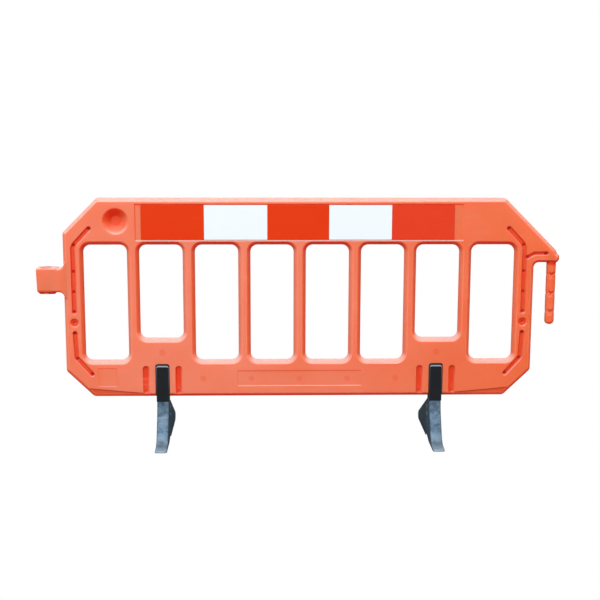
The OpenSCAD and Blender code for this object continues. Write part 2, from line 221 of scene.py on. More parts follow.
def inside(points, loop):
    """Whether each point lies inside a closed line."""
    x, z = points[:, 0, None], points[:, 1, None]
    here, there = loop, np.roll(loop, -1, axis=0)
    spans = (here[:, 1] > z) != (there[:, 1] > z)
    rise = np.where(there[:, 1] == here[:, 1], 1, there[:, 1] - here[:, 1])
    meets = here[:, 0] + (z - here[:, 1]) * (there[:, 0] - here[:, 0]) / rise
    return (spans & (x < meets)).sum(axis=1) % 2 == 1


print("distance tools ready")

# %% [markdown]
# ## The panel's outline and windows
# The real panel is blow moulded: two halves of a mould close on a hot tube and leave a hollow
# panel with a bevel round every edge. The bevel is a drop of the face that depends only on the
# distance from the edge, so one rule of distance and drop makes it round all nine lines.

# %% Outline of the panel
HALF_T = 24.0
HALF_W = 942.0
PANEL_LOW, PANEL_TOP = 193.0, 1000.0
BEVEL, LOW_BEVEL, TOP_BEVEL, ARM_BEVEL = 12.0, 12.5, 13.5, 9.0
# reach of the soft crease at a bevel, and of the rounding at the rim
SOFT, RIM = 3.0, 1.2
CORNER_R = 20
LOW_CUT_X, LOW_CUT_Z = 109, 106
SOCKET_CUT = 137
PEG_CUT = 122
ARM_Z, ARM_R = 741.5, 22
# the end of the link arm: x over the panel's end, z over the arm's underside, radius
NOSE = ((95, 0, 8), (103, 12.5, 8), (102, 28.5, 8), (92.5, 36.5, 5), (86.5, 50.2, 14))
# corner x, corner z, radius, bevel of the edge that follows
OUTLINE = [
    (-HALF_W + LOW_CUT_X, PANEL_LOW, CORNER_R, LOW_BEVEL),
    (HALF_W - LOW_CUT_X, PANEL_LOW, CORNER_R, BEVEL),
    (HALF_W, PANEL_LOW + LOW_CUT_Z, CORNER_R, BEVEL),
    (HALF_W, ARM_Z, ARM_R, ARM_BEVEL),
    *((HALF_W + x, ARM_Z + z, r, BEVEL) for x, z, r in NOSE),
    (HALF_W - PEG_CUT, PANEL_TOP, CORNER_R, TOP_BEVEL),
    (-HALF_W + SOCKET_CUT, PANEL_TOP, CORNER_R, BEVEL),
    (-HALF_W, PANEL_TOP - SOCKET_CUT, CORNER_R, BEVEL),
    (-HALF_W, PANEL_LOW + LOW_CUT_Z, CORNER_R, BEVEL),
]
CREASE = (-SOFT, -SOFT / 2, 0, SOFT / 2, SOFT)
edge_line = closed_line(OUTLINE, [0] * len(OUTLINE))
edge_loop = np.vstack((edge_line, edge_line[:1]))
rim_line = closed_line(OUTLINE, [RIM] * len(OUTLINE))
drawn = [rim_line] + [closed_line(OUTLINE, [corner[3] + c for corner in OUTLINE]) for c in CREASE]


def outline_rise(points):
    """How far each point lies past the crease of the outline's bevel, measured along the face."""
    gap, nearest = distance_to(points, edge_loop)
    levels = (PANEL_LOW, PANEL_LOW + LOW_BEVEL, PANEL_TOP - TOP_BEVEL, PANEL_TOP)
    bevel = np.interp(nearest[:, 1], levels, (LOW_BEVEL, BEVEL, BEVEL, TOP_BEVEL))
    under_arm = (np.abs(nearest[:, 1] - ARM_Z) < RIM) & (nearest[:, 0] > HALF_W + ARM_R)
    return np.where(under_arm, ARM_BEVEL, bevel) - gap


def soften(rise):
    """The rise from zero, with a soft start at the crease."""
    return np.where(rise >= SOFT, rise, np.clip(rise + SOFT, 0, None) ** 2 / (4 * SOFT))


print("outline of", len(edge_line), "points")

# %% [markdown]
# The windows are one rounded rectangle, repeated at an even pitch. The two over the feet have
# higher sills. Past the bevel a window's wall has a draft, so that the mould comes off it.

# %% Windows
WINDOW_COUNT = 8
WINDOW_W, WINDOW_PITCH, WINDOW_R = 174.4, 221.9, 29.0
WINDOW_BEVEL = 14.5
DRAFT_FROM, DRAFT_TO = 8.5, 20.5
WINDOW_TOP = 813.5
SILL, FOOT_SILL = 342.5, 432.7
# place of the windows over the feet, in pitches from the middle
FOOT_WINDOW = 2.5


def window_edges(index):
    middle = index * WINDOW_PITCH
    sill = FOOT_SILL if abs(index) == FOOT_WINDOW else SILL
    return middle - WINDOW_W / 2, middle + WINDOW_W / 2, sill, WINDOW_TOP


WINDOWS = [window_edges(place - (WINDOW_COUNT - 1) / 2) for place in range(WINDOW_COUNT)]
window_steps = (RIM, WINDOW_BEVEL - DRAFT_FROM, *(WINDOW_BEVEL + c for c in CREASE))
for edges in WINDOWS:
    drawn += [closed_line(rectangle(*edges, WINDOW_R), [-step] * 4) for step in window_steps]


def window_rise(points):
    """How far each point lies past the crease of the nearest window."""
    gaps = [rectangle_distance(points, *edges, WINDOW_R) for edges in WINDOWS]
    return WINDOW_BEVEL - np.min(gaps, axis=0)


def edge_drop(points):
    """Drop of the face at the outline's bevel, and at the windows' bevels and drafted walls."""
    rises, falls = (0, DRAFT_FROM, WINDOW_BEVEL - RIM), (0, DRAFT_FROM, DRAFT_TO)
    walls = np.interp(soften(window_rise(points)), rises, falls)
    return np.maximum(soften(outline_rise(points)), walls)


print("windows:", len(WINDOWS))

# %% [markdown]
# ## Details pressed into the faces
# The mould presses shallow details into the hot wall: the recess for the sheets, a round dish,
# the grooves on the end posts, the recesses for the feet and small round marks where the two
# walls touch. Each is a line and a table of drops by distance, like the bevel. Cutting them as
# solids would leave hard corners that a moulded wall cannot have. A detail's shade weight says how
# much painted shade its colour gets.

# %% Ways to press a detail
TRAY_LIP = 0.5
TRAY_SHARES = (0, 0.12, 0.7, 1)
FEWEST_PIT_POINTS, PIT_SPACING = 16, 3
GROOVE_STEP_SHARES = (0.5, 0.65, 0.86, 0.97, 1.08)
GROOVE_DEPTH_SHARES = (1, 0.9, 0.35, 0.07, 0)
features = []


def add_tray(edges, r, depth, wall, shade_weight=0.0, on_rear=False):
    """Flat-floored recess inside a rounded rectangle."""
    steps = (TRAY_LIP, 0, -wall / 2, -wall)
    loops = [closed_line(rectangle(*edges, r), [-step] * 4) for step in steps]

    def drop(points):
        gap = rectangle_distance(points, *edges, r)
        return depth * np.interp(gap, steps[::-1], TRAY_SHARES[::-1])

    features.append((loops, drop, shade_weight, on_rear))


def add_pit(x, z, radii, drops, shade_weight, on_rear=False):
    """Round pit with a drop at each of its radii."""
    circle = round_points(FEWEST_PIT_POINTS + 2 * int(radii[-1] / PIT_SPACING))
    loops = [np.array((x, z)) + r * circle for r in radii]

    def drop(points):
        return np.interp(np.linalg.norm(points - (x, z), axis=1), radii, drops)

    features.append((loops, drop, shade_weight, on_rear))


def add_groove(line, half, depth, shade_weight, on_rear=False, fade=None):
    """Round-bottomed groove along a line; a fade gives heights and shares of its depth."""
    steps = [half * share for share in GROOVE_STEP_SHARES]
    loops = [contour(line, step) for step in steps]

    def drop(points):
        deep = depth * np.interp(distance_to(points, line)[0], steps, GROOVE_DEPTH_SHARES)
        return deep if fade is None else deep * np.interp(points[:, 1], *fade)

    features.append((loops, drop, shade_weight, on_rear))


print("ways to press: tray, pit and groove")

# %% [markdown]
# The front has three trays, the dish, and on each end post two grooves with small pits in their
# floors and a dimple between them. The link arm has a hooked groove. All are lists of places,
# mirrored where the panel is.

# %% Trays, dish and grooves
SHEET_RECESS_DEPTH = 4.0
# the sheets' recess, a long tray and a small one: edges, corner radius, depth, width of the wall
TRAYS = (
    ((-655, 655, 829.5, 978), 4, SHEET_RECESS_DEPTH, 4.5),
    ((-252, 252, 236.4, 300.5), 4, 2, 3),
    ((-815, -738, 235.5, 311.5), 3, 1.5, 3),
)
# radii, drops at them, and weight of painted shade
DISH = ((18, 20.5, 23, 26, 46, 50, 52.5, 55), (30, 29.4, 27.8, 25.4, 5.4, 1.9, 0.6, 0), 0.13)
DIMPLE = ((2.5, 4.5, 6.5, 11, 14.5, 17.5, 19.5), (10, 8.4, 6, 5.6, 4.6, 1, 0), 1.0)
MARK = ((8, 10.5, 13, 15), (0.6, 0.5, 0.2, 0), 2.6)
GROOVE_MARK = ((2.5, 5, 7, 9.5), (12, 11.5, 8.5, 0), 0.95)
DISH_AT, DIMPLE_AT = (-731, 908), (902.5, 499)
MARK_Z = 266.7
MARKS_AT = ((194, MARK_Z), (391, MARK_Z), (554, 375))
POST_X = 902
UPPER_PATH = ((837, 879), (895.5, 816), (POST_X, 800), (POST_X, 543))
LOWER_PATH = ((POST_X, 456), (897, 353), (837.5, 286.5))
HOOK_PATH = ((915, 764), (943, 778), (989.5, 778.5))
UPPER_BEND, LOWER_BEND, HOOK_BEND = 14, 22, 12
UPPER_MARKS = (UPPER_PATH[0], (898, 812), (POST_X, 706), (POST_X, 623), UPPER_PATH[-1])
LOWER_MARKS = (LOWER_PATH[0], (894, 350), LOWER_PATH[-1])
# half width, depth and weight of painted shade
POST_GROOVE = (10.5, 7.5, 0.66)
HOOK_GROOVE = (8.5, 6.5, 0.9)
for tray in TRAYS:
    add_tray(*tray)
add_pit(*DISH_AT, *DISH)
mirrored_pits = ((UPPER_MARKS + LOWER_MARKS, GROOVE_MARK), ((DIMPLE_AT,), DIMPLE), (MARKS_AT, MARK))
for side in SIDES.values():
    for path, bend in ((UPPER_PATH, UPPER_BEND), (LOWER_PATH, LOWER_BEND)):
        add_groove(open_line([(side * x, z) for x, z in path], bend), *POST_GROOVE)
    for places, kind in mirrored_pits:
        for x, z in places:
            add_pit(side * x, z, *kind)
add_pit(0, MARK_Z, *MARK)
add_groove(open_line(HOOK_PATH, HOOK_BEND), *HOOK_GROOVE)
for place in (HOOK_PATH[0], HOOK_PATH[-1]):
    add_pit(*place, *GROOVE_MARK)
print("pressed details:", len(features))

# %% [markdown]
# Both faces have a recess for each foot's sleeves, with a rib groove on both sides of it. They
# run off the bottom edge, so their lines start below the panel.

# %% Recesses and ribs for the feet
BELOW = 150
SLEEVE_RECESS_HALF, SLEEVE_RECESS_TOP = 28.4, 328.5
# corner radius, depth, width of the wall and weight of painted shade, which paints a near-black
# shadow in the gap round the sleeve
SLEEVE_RECESS = (11, 7.3, 1.6, 2.5)
RIB_OFFSET, RIB_TOP, RIB_POINTS = 66, 307, 14
RIB_GROOVE = (14.5, 8, 0.86)
RIB_FADE = ((PANEL_LOW, 215, 250, 300), (0.6, 0.66, 0.85, 1))
RIB_PIT = ((3, 6, 9, 11), (7.5, 6.5, 3.6, 0), 0.6)
RIB_PIT_Z = 214
rib_heights = np.linspace(BELOW, RIB_TOP, RIB_POINTS)
for side in SIDES.values():
    foot = side * FOOT_X
    edges = (foot - SLEEVE_RECESS_HALF, foot + SLEEVE_RECESS_HALF, BELOW, SLEEVE_RECESS_TOP)
    add_tray(edges, *SLEEVE_RECESS, on_rear=True)
    for rib in (foot - RIB_OFFSET, foot + RIB_OFFSET):
        path = np.column_stack((np.full(RIB_POINTS, rib), rib_heights))
        add_groove(path, *RIB_GROOVE, on_rear=True, fade=RIB_FADE)
        add_pit(rib, RIB_PIT_Z, *RIB_PIT, on_rear=True)
print("pressed details with the feet's:", len(features))

# %% [markdown]
# ## The tapered lip
# Outside the feet the bottom edge is set back in a long wedge that widens towards the end posts,
# with a small step along its upper line. The bevel's rule cannot make it, because its width
# changes along the edge, so it is drawn by its own lines.

# %% Tapered lip of the bottom edge
LIP_IN, LIP_OUT = 635, 849
LIP_IN_H, LIP_OUT_H = 16, 36
LIP_RAMP, LIP_PAST = 3, 10
LIP_STEP, LIP_STEP_W = 3.5, 2.5
# painted shade along the step of the lip
LIP_SHADE = 2.2
LIP_PLACES = (LIP_IN - LIP_RAMP, LIP_IN, (LIP_IN + LIP_OUT) / 2, LIP_OUT, LIP_OUT + LIP_PAST)


def lip_height(x):
    return np.interp(np.abs(x), (LIP_IN, LIP_OUT), (LIP_IN_H, LIP_OUT_H))


def lip_drop(points):
    height = lip_height(points[:, 0])
    below = PANEL_LOW + height - points[:, 1]
    step = LIP_STEP * np.clip(below / LIP_STEP_W, 0, 1)
    slope = (BEVEL - LIP_STEP) * np.clip((below - LIP_STEP_W) / (height - LIP_STEP_W), 0, 1)
    return (step + slope) * np.clip((np.abs(points[:, 0]) - LIP_IN + LIP_RAMP) / LIP_RAMP, 0, 1)


def lip_line(side, places, fall):
    """Line through places along the lip, at a distance below its upper line."""
    return np.array([(side * x, PANEL_LOW + lip_height(x) - fall) for x in places])


features.append(([], lip_drop, 0.0, True))
lip_lines = []
for side in SIDES.values():
    for x in LIP_PLACES[:2]:
        lip_lines.append(np.array([(side * x, PANEL_LOW - RIM), (side * x, PANEL_LOW + LIP_IN_H)]))
    lip_lines += [lip_line(side, LIP_PLACES, fall) for fall in (0, LIP_STEP_W)]
    step_line = lip_line(side, LIP_PLACES[1:-1], LIP_STEP_W)
    add_groove(step_line, LIP_STEP_W, LIP_STEP, LIP_SHADE, on_rear=True)
print("lip from %d to %d mm high" % (LIP_IN_H, LIP_OUT_H))

# %% [markdown]
# ## The panel's skin
# All the lines are triangulated together in the plane of the panel. The same triangles serve the
# front and the rear: each point is dropped by the deepest detail at that place, and thin rings of
# quads close the walls between the two faces, also round the windows. A boolean of solids could
# do it, but this keeps every crease on a line of the drawing.

# %% Triangulate and shape the panel
# points nearer than this are joined
JOIN_GAP = 0.02
# how much of a triangulation is given back
WHOLE_HULL, ONLY_INSIDE = 0, 1
corners_2d, edges_2d = [], []


def draw(line, closed):
    first, count = len(corners_2d), len(line)
    corners_2d.extend(Vector(place) for place in line)
    runs = count if closed else count - 1
    edges_2d.extend((first + i, first + (i + 1) % count) for i in range(runs))


for line in drawn + [line for loops, _, _, _ in features for line in loops]:
    draw(line, True)
for line in lip_lines:
    draw(line, False)
flat, _, triangles, _, _, _ = delaunay_2d_cdt(corners_2d, edges_2d, [], WHOLE_HULL, JOIN_GAP)
flat = np.array([(place.x, place.y) for place in flat])
triangles = np.array([triangle for triangle in triangles if len(triangle) == 3])
spread = flat[triangles]
backward = cross(spread[:, 1] - spread[:, 0], spread[:, 2] - spread[:, 0]) < 0
triangles[backward] = triangles[backward][:, ::-1]
middles = spread.mean(axis=1)
kept = inside(middles, rim_line)
for edges in WINDOWS:
    kept &= rectangle_distance(middles, *edges, WINDOW_R) > RIM
used, triangles = np.unique(triangles[kept], return_inverse=True)
triangles = triangles.reshape(-1, 3)
flat = flat[used]
count = len(flat)

edge = edge_drop(flat)
drops = np.array([drop(flat) for _, drop, _, _ in features])
shade_weights = np.array([shade_weight for _, _, shade_weight, _ in features])
on_rear = np.array([rear for _, _, _, rear in features])
front_deep = drops.max(axis=0)
rear_deep = drops[on_rear].max(axis=0)
front_out = HALF_T - np.maximum(edge, front_deep)
rear_out = np.maximum(edge, rear_deep) - HALF_T
print("each face:", count, "points and", len(triangles), "triangles")

# %% [markdown]
# The wall between the faces follows every open edge of the triangles. Two narrow rings at each
# face round the corner, so the edge of the moulding catches the light as a real one does. In the
# windows a low ridge stays where the halves of the mould part.

# %% Walls of the panel
# growth outwards and fall from the face, ring by ring
RINGS = ((0.75, 0.95), (RIM, 2.3))
PARTING = 1.0
directed = {(int(a), int(b)) for t in triangles for a, b in zip(t, np.roll(t, -1))}
next_of = {a: b for a, b in directed if (b, a) not in directed}
points = [np.column_stack((flat[:, 0], out, flat[:, 1])) for out in (front_out, rear_out)]
faces = [list(t) for t in triangles] + [list(t[::-1] + count) for t in triangles]
total = 2 * count
loops_made = 0
while next_of:
    start = next(iter(next_of))
    loop = [start]
    while next_of[loop[-1]] != start:
        loop.append(next_of[loop[-1]])
    for place in loop:
        del next_of[place]
    loops_made += 1
    loop = np.array(loop)
    ahead = np.roll(flat[loop], -1, axis=0) - np.roll(flat[loop], 1, axis=0)
    ahead /= np.linalg.norm(ahead, axis=1)[:, None]
    outward = np.column_stack((ahead[:, 1], -ahead[:, 0]))
    profile = [(grow, front_out[loop] - fall) for grow, fall in RINGS]
    if np.abs(flat[loop][:, 0]).max() < HALF_W - BEVEL:
        profile.append((RIM + PARTING, np.zeros(len(loop))))
    profile += [(grow, rear_out[loop] + fall) for grow, fall in RINGS[::-1]]
    rows = [loop]
    for grow, out in profile:
        moved = flat[loop] + grow * outward
        points.append(np.column_stack((moved[:, 0], out, moved[:, 1])))
        rows.append(total + np.arange(len(loop)))
        total += len(loop)
    rows.append(loop + count)
    for near, far in zip(rows, rows[1:]):
        faces += np.column_stack((near, far, np.roll(far, -1), np.roll(near, -1))).tolist()
panel = piece(
    "panel_moulding", np.vstack(points), faces, "panel", "orange_moulding", sharp=34, replaces=["panel"]
)
print("panel:", len(faces), "faces,", loops_made, "walls")

# %% [markdown]
# The material has to know where the details are. Three values are stored for each point: how much
# painted shade it gets, how deep the point lies, and how near it is to a crease, where rubbed wear
# and a painted highlight go.

# %% Values for the material
SUNK_FULL, SUNK_MOST = 6, 3


def mark(made, name, values):
    """Stores a value for each point, for the material to read."""
    attribute = made.data.attributes.new(name, "FLOAT", "POINT")
    attribute.data.foreach_set("value", np.asarray(values, np.float32).ravel())


def weigh_normals(made):
    """Lets large faces lead the shading of the small ones beside them."""
    weigh = made.modifiers.new("weighted normals", "WEIGHTED_NORMAL")
    weigh.keep_sharp = True
    weigh.weight = 100


# painted shade of each point: the deepest detail there, by its shade weight
painted_shade = np.clip(drops * shade_weights[:, None] / SUNK_FULL, 0, SUNK_MOST)
crease_gap = np.minimum(np.abs(outline_rise(flat)), np.abs(window_rise(flat)))
# crest: rubbed wear and a painted highlight along the creases
crest = np.clip(1 - crease_gap / SOFT, 0, 1)
stored_values = {
    "painted_shade": (painted_shade.max(axis=0), painted_shade[on_rear].max(axis=0)),
    "depth": (front_deep, rear_deep),
    "wear_and_highlight": (crest, crest),
}
for name, both_faces in stored_values.items():
    mark(panel, name, np.concatenate((*both_faces, np.zeros(total - 2 * count))))
weigh_normals(panel)
print("stored on the panel:", sorted(stored_values))

# %% [markdown]
# ## The link socket
# The neighbouring panel's peg drops into a box on the left end. On the real panel the box is part
# of the same moulding, with rounded corners and slightly bulging sides. Rings of a squarish oval
# run up its outside and down its bore.

# %% Socket box
def grid_faces(rows, columns, close_rows=False, close_columns=True):
    """Quads between rows of points, each row a list of points in the same order."""
    made = []
    for row in range(rows if close_rows else rows - 1):
        here, there = row * columns, (row + 1) % rows * columns
        for i in range(columns if close_columns else columns - 1):
            j = (i + 1) % columns
            made.append((here + i, here + j, there + j, there + i))
    return made


def squarish(count, power):
    """Unit oval, the nearer to a square the higher its power, as rows of two coordinates."""
    wave = round_points(count)
    return np.sign(wave) * np.abs(wave) ** (2 / power)


SOCKET_X, SOCKET_LOW, SOCKET_H = -1007.5, 616.5, 105.0
SOCKET_HALF = np.array((43.0, 32.0))
SOCKET_POWER, SOCKET_N = 10, 72
BORE_SHIFT, BORE_R = np.array((-2.0, 0.0)), 23.0
# inset of the wall, and share of the box's height
SIDE = ((17, 0), (13, 0), (12, 0.008), (3.6, 0.098), (2.8, 0.118), (2.3, 0.2), (1.5, 0.5),
        (0.7, 0.8), (0.4, 0.93), (0.9, 0.962), (2.2, 0.986), (4.2, 0.998), (6.2, 1))
# growth of the bore, and share of the box's height
BORE = ((6.5, 1), (5.6, 0.99), (0.7, 0.91), (0, 0.89), (0, 0.5), (0, 0.04), (1, 0.01), (3, 0))
CHAMFER_ROWS, CHAMFER_SHADE = 4, 1.5
rings = [(squarish(SOCKET_N, SOCKET_POWER) * (SOCKET_HALF - inset), share) for inset, share in SIDE]
rings += [(round_points(SOCKET_N) * (BORE_R + grow) + BORE_SHIFT, share) for grow, share in BORE]
socket_points = np.vstack([
    np.column_stack((SOCKET_X + ring[:, 0], -ring[:, 1], np.full(SOCKET_N, SOCKET_LOW + share * SOCKET_H)))
    for ring, share in rings
])
socket_faces = grid_faces(len(rings), SOCKET_N, close_rows=True)
socket_box = piece("link_socket_box", socket_points, socket_faces, "panel", "orange_moulding")
# painted shade on the box's lower chamfer
shaded = np.zeros((len(rings), SOCKET_N))
shaded[:CHAMFER_ROWS] = CHAMFER_SHADE
mark(socket_box, "painted_shade", shaded)
print("socket box of", len(socket_points), "points, bore radius", BORE_R, "mm")

# %% [markdown]
# A neck joins the box to the end post and flares where they meet. It is a row of squarish ovals
# too, which a table of half sizes along the neck makes wider.

# %% Neck of the socket
def flipped(skin):
    """The same faces, turned to their other side."""
    return [face[::-1] for face in skin]


NECK_Z = 671.5
NECK_POWER, NECK_N = 12, 64
# x, half thickness, half height
NECK = ((-990, 31.2, 47), (-968, 31.2, 47), (-960, 30.6, 47.2), (-954, 29.8, 48.5), (-949, 28.8, 51),
        (-945, 27.9, 55), (-941.5, 27, 61), (-938, 26, 69), (-934, 24.9, 78), (-929, 23.4, 84))
NECK_SHADE, NECK_SHADE_FALL = 1.4, 42
NECK_SHADE_FULL, NECK_SHADE_END = -968, -950
across, upward = squarish(NECK_N, NECK_POWER).T
neck_points = np.vstack([
    np.column_stack((np.full(NECK_N, x), half_t * across, NECK_Z + half_h * upward))
    for x, half_t, half_h in NECK
])
neck_faces = flipped(grid_faces(len(NECK), NECK_N))
neck = piece("link_socket_neck", neck_points, neck_faces, "panel", "orange_moulding")
# painted shadow under the neck where it meets the box
beside_box = np.interp(neck_points[:, 0], (NECK_SHADE_FULL, NECK_SHADE_END), (NECK_SHADE, 0))
mark(neck, "painted_shade", beside_box * (neck_points[:, 2] < NECK_Z - NECK_SHADE_FALL))
print("neck of", len(NECK), "rings")

# %% [markdown]
# ## The link peg
# A hollow peg hangs from the arm at the right end. It is part of the moulding too, and the mould
# has pinched its front in three places, where crossed creases stiffen it. The peg is a turned
# form whose radius is pressed in along the creases. Painted shade runs along the upper crease of
# each pinch and a painted highlight along the lower one, and painted shade darkens the peg under
# the arm and at its lower end.

# %% Peg with its pinched creases
PEG_X, PEG_R, PEG_TOP, PEG_LOW = 1015.5, 19.0, 748.0, 487.0
PEG_ROWS, PEG_N = 180, 96
# heights over the peg's lower end, and shares of its radius
PEG_END = ((0, 3, 8, 14), (0.46, 0.75, 0.94, 1))
# heights over the peg's lower end, and how much painted shade it has there, at its lower end and
# under the arm
PEG_SHADE = ((3, 9, 240, 249), (1.7, 0, 0, 1.4))
PINCHES = (692, 615, 540)
PINCH_SLOPE, PINCH_GAP = 0.75, 7
PINCH_HALF, PINCH_FADE = 13, 4
WAIST, WAIST_H = 1.0, 7
# strength, share of the width at which it ends, width
UPPER_PRESS, LOWER_PRESS = (3.6, 1, 4.5), (1.8, 1, 4.5)
# painted shade along the upper crease of each pinch, painted highlight along the lower one
SHADE_STRIPE, HIGHLIGHT_STRIPE = (1.95, 1.6, 4), (0.7, 1.3, 3)


def stripe(distance, strength, share, width):
    """Strength that fades with the distance from a line."""
    return strength * np.clip(share - distance / width, 0, 1)


heights = np.linspace(PEG_LOW, PEG_TOP, PEG_ROWS)
turns = np.linspace(-math.pi, math.pi, PEG_N, endpoint=False)
height, turn = np.meshgrid(heights, turns, indexing="ij")
radius = PEG_R * np.interp(height - PEG_LOW, *PEG_END)
dark, pale = np.interp(height - PEG_LOW, *PEG_SHADE), np.zeros_like(radius)
across = np.abs(PEG_R * turn)
reach = np.clip((PINCH_HALF - across) / PINCH_FADE, 0, 1)
for pinch in PINCHES:
    up = height - pinch
    upper = np.abs(up - PINCH_SLOPE * across)
    lower = np.abs(up + PINCH_SLOPE * across + PINCH_GAP)
    radius -= (stripe(upper, *UPPER_PRESS) + stripe(lower, *LOWER_PRESS)) * reach
    radius -= WAIST * np.exp(-(up / WAIST_H) ** 2)
    dark = np.maximum(dark, stripe(upper, *SHADE_STRIPE) * reach)
    pale = np.maximum(pale, stripe(lower, *HIGHLIGHT_STRIPE) * reach)
peg_points = np.column_stack((
    (PEG_X + radius * np.sin(turn)).ravel(), (radius * np.cos(turn)).ravel(), height.ravel()
))
peg_faces = flipped(grid_faces(PEG_ROWS, PEG_N)) + [range(PEG_N)]
peg = piece("link_peg", peg_points, peg_faces, "panel", "orange_moulding", sharp=60)
mark(peg, "painted_shade", dark)
mark(peg, "wear_and_highlight", pale)
print("peg %.0f mm long with %d pinches" % (PEG_TOP - PEG_LOW, len(PINCHES)))

# %% [markdown]
# ## Reflective sheets
# Five sheets of reflective film are stuck to the floor of the recess in the top rail. A sheet is
# die cut, so its corners are a little rounded, and its edge is thin. Each is a loft of a few
# rounded rectangles, from the floor of the recess to its own face.

# %% Sheets in the recess
def loft(loops, outs):
    """Closed skin through loops of the drawing, from the rear to the front."""
    count = len(loops[0])
    made = np.vstack([
        np.column_stack((loop[:, 0], np.full(count, out), loop[:, 1])) for loop, out in zip(loops, outs)
    ])
    front = range((len(loops) - 1) * count, len(loops) * count)
    return made, grid_faces(len(loops), count) + [front, range(count)[::-1]]


SHEET_T, SHEET_R = 2.5, 2.5
SHEET_FOOT = 2.0
SHEET_FACE = HALF_T - SHEET_RECESS_DEPTH + SHEET_T
# inset of the edge, and fall from the sheet's face
SHEET_EDGE = ((0, SHEET_T), (0, 0.3), (0.12, 0.08), (0.4, 0))
# how far each sheet's left and right edges lie from their even places
LAID_OFF = {
    "red_sheet_left": (4, 3.8), "white_sheet_left": (3.8, 4.8), "red_sheet_centre": (4.8, 0),
    "white_sheet_right": (0, 0), "red_sheet_right": (0, 0),
}
sheets = {}
for name, (left_off, right_off) in LAID_OFF.items():
    low, high = box_of(name)
    x0, x1 = low[0] - MIDDLE_X + left_off, high[0] - MIDDLE_X + right_off
    corners = rectangle(x0, x1, low[2] + SHEET_FOOT, high[2], SHEET_R)
    loops = [closed_line(corners, [inset] * 4) for inset, _ in SHEET_EDGE]
    outs = [SHEET_FACE - fall for _, fall in SHEET_EDGE]
    slot = "red_reflective_sheet" if name.startswith("red") else "white_reflective_sheet"
    sheets[name] = piece(name + "_film", *loft(loops, outs), "panel", slot, sharp=30, replaces=[name])
    weigh_normals(sheets[name])
print("sheets:", len(sheets))

# %% [markdown]
# ## Sleeves
# A black plastic sleeve covers each arm of a foot and fills its recess without rattling. It is a
# moulded sock with soft edges. A loft of its outline does it, with the edge drawn in at the face.

# %% Sleeves on the arms
SLEEVE_T = 9.0
SLEEVE_LOW_R, SLEEVE_TOP_R = 1.2, 10
# depth from the sleeve's rear, inset of its sides, inset of its top, strength of the painted
# highlight along its top
SLEEVE_EDGE = (
    (0, 1.2, 1.2, 0), (0.4, 0.3, 0.3, 0), (1.2, 0, 0, 0), (6.4, 0, 0, 0), (7.6, 0.1, 0.5, 0),
    (8.3, 0.4, 1.4, 0), (8.7, 0.9, 3.0, 0.1), (8.85, 1.4, 4.6, 0.9), (8.95, 2.0, 7.0, 0.7),
    (SLEEVE_T, 2.6, 8.4, 0),
)
HIGHLIGHT_FROM, HIGHLIGHT_FULL = 14.0, 9.0
sleeves = {}
for side in SIDES:
    for face in ("front", "rear"):
        name = "%s_%s_sleeve" % (side, face)
        low, high = box_of(name)
        x0, x1 = low[0] - MIDDLE_X, high[0] - MIDDLE_X
        near, far = sorted((abs(MIDDLE_Y - low[1]), abs(MIDDLE_Y - high[1])))
        corners = [(x, low[2], SLEEVE_LOW_R) for x in (x0, x1)]
        corners += [(x, high[2], SLEEVE_TOP_R) for x in (x1, x0)]
        loops = [closed_line(corners, [side_in, side_in, top_in, side_in])
                 for _, side_in, top_in, _ in SLEEVE_EDGE]
        outs = [near + (far - near) * depth / SLEEVE_T for depth, _, _, _ in SLEEVE_EDGE]
        made, skin = loft(loops, outs)
        if face == "rear":
            made[:, 1] *= -1
            skin = flipped(skin)
        sleeves[name] = piece(
            name + "_moulding", made, skin, side + "_foot", "black_sleeve", sharp=50, replaces=[name]
        )
        weigh_normals(sleeves[name])
        # painted highlight along the top edge of the sleeve
        near_top = np.interp(made[:, 2], (high[2] - HIGHLIGHT_FROM, high[2] - HIGHLIGHT_FULL), (0, 1))
        sleeve_highlight = np.repeat([rub for _, _, _, rub in SLEEVE_EDGE], len(loops[0]))
        mark(sleeves[name], "wear_and_highlight", sleeve_highlight * near_top)
print("sleeves:", len(sleeves))

# %% [markdown]
# ## Foot plates
# Each foot is one plate of galvanised steel: a web that sweeps down to a flat toe, two flanges
# folded back along it, and an arm that goes up into the sleeve. It is made as the sheet that it
# is: only the outer skin is drawn, with a round fold along both sides of the web, and a solidify
# modifier gives the steel its thickness inwards.

# %% Skin of a foot plate
FOLD_R = 5.0
FOOT_HALF = 24.0
SHOULDER_Z, WEB_OUT = 172.0, 23.0
TOE_OUT, TOE_R = 174.0, 11.0
ARM_HALF, ARM_TOP = 21.0, 320.8
ARM_RISE, ARM_EDGE = 4, 2
WEB_N, CURVE_STEPS = 110, 12
# places that the web's outer face passes, from the shoulder to the toe: out, z
WEB_LINE = [
    (WEB_OUT, SHOULDER_Z), (27.3, 144), (36.6, 115.2), (58.5, 77.4), (74, 48), (91, 27.5), (107.6, 16.3),
    (124, 12.9), (140.8, 11.35), (157, 9.6), (166, 8.5), (171.3, 6.8), (173.6, 3.8), (173.7, 0.6),
]


def smooth_line(places, count):
    """Even points on a smooth curve through places."""
    places = np.array(places, float)
    ends = np.vstack((2 * places[0] - places[1], places, 2 * places[-1] - places[-2]))
    shares = np.linspace(0, 1, CURVE_STEPS, endpoint=False)[:, None]
    curve = [
        0.5 * (2 * b + (c - a) * shares + (2 * a - 5 * b + 4 * c - d) * shares ** 2
               + (3 * b - a - 3 * c + d) * shares ** 3)
        for a, b, c, d in zip(ends, ends[1:], ends[2:], ends[3:])
    ]
    curve = np.vstack(curve + [places[-1:]])
    along = np.concatenate(([0], np.cumsum(np.linalg.norm(np.diff(curve, axis=0), axis=1))))
    even = np.linspace(0, along[-1], count)
    return np.column_stack([np.interp(even, along, curve[:, i]) for i in (0, 1)])


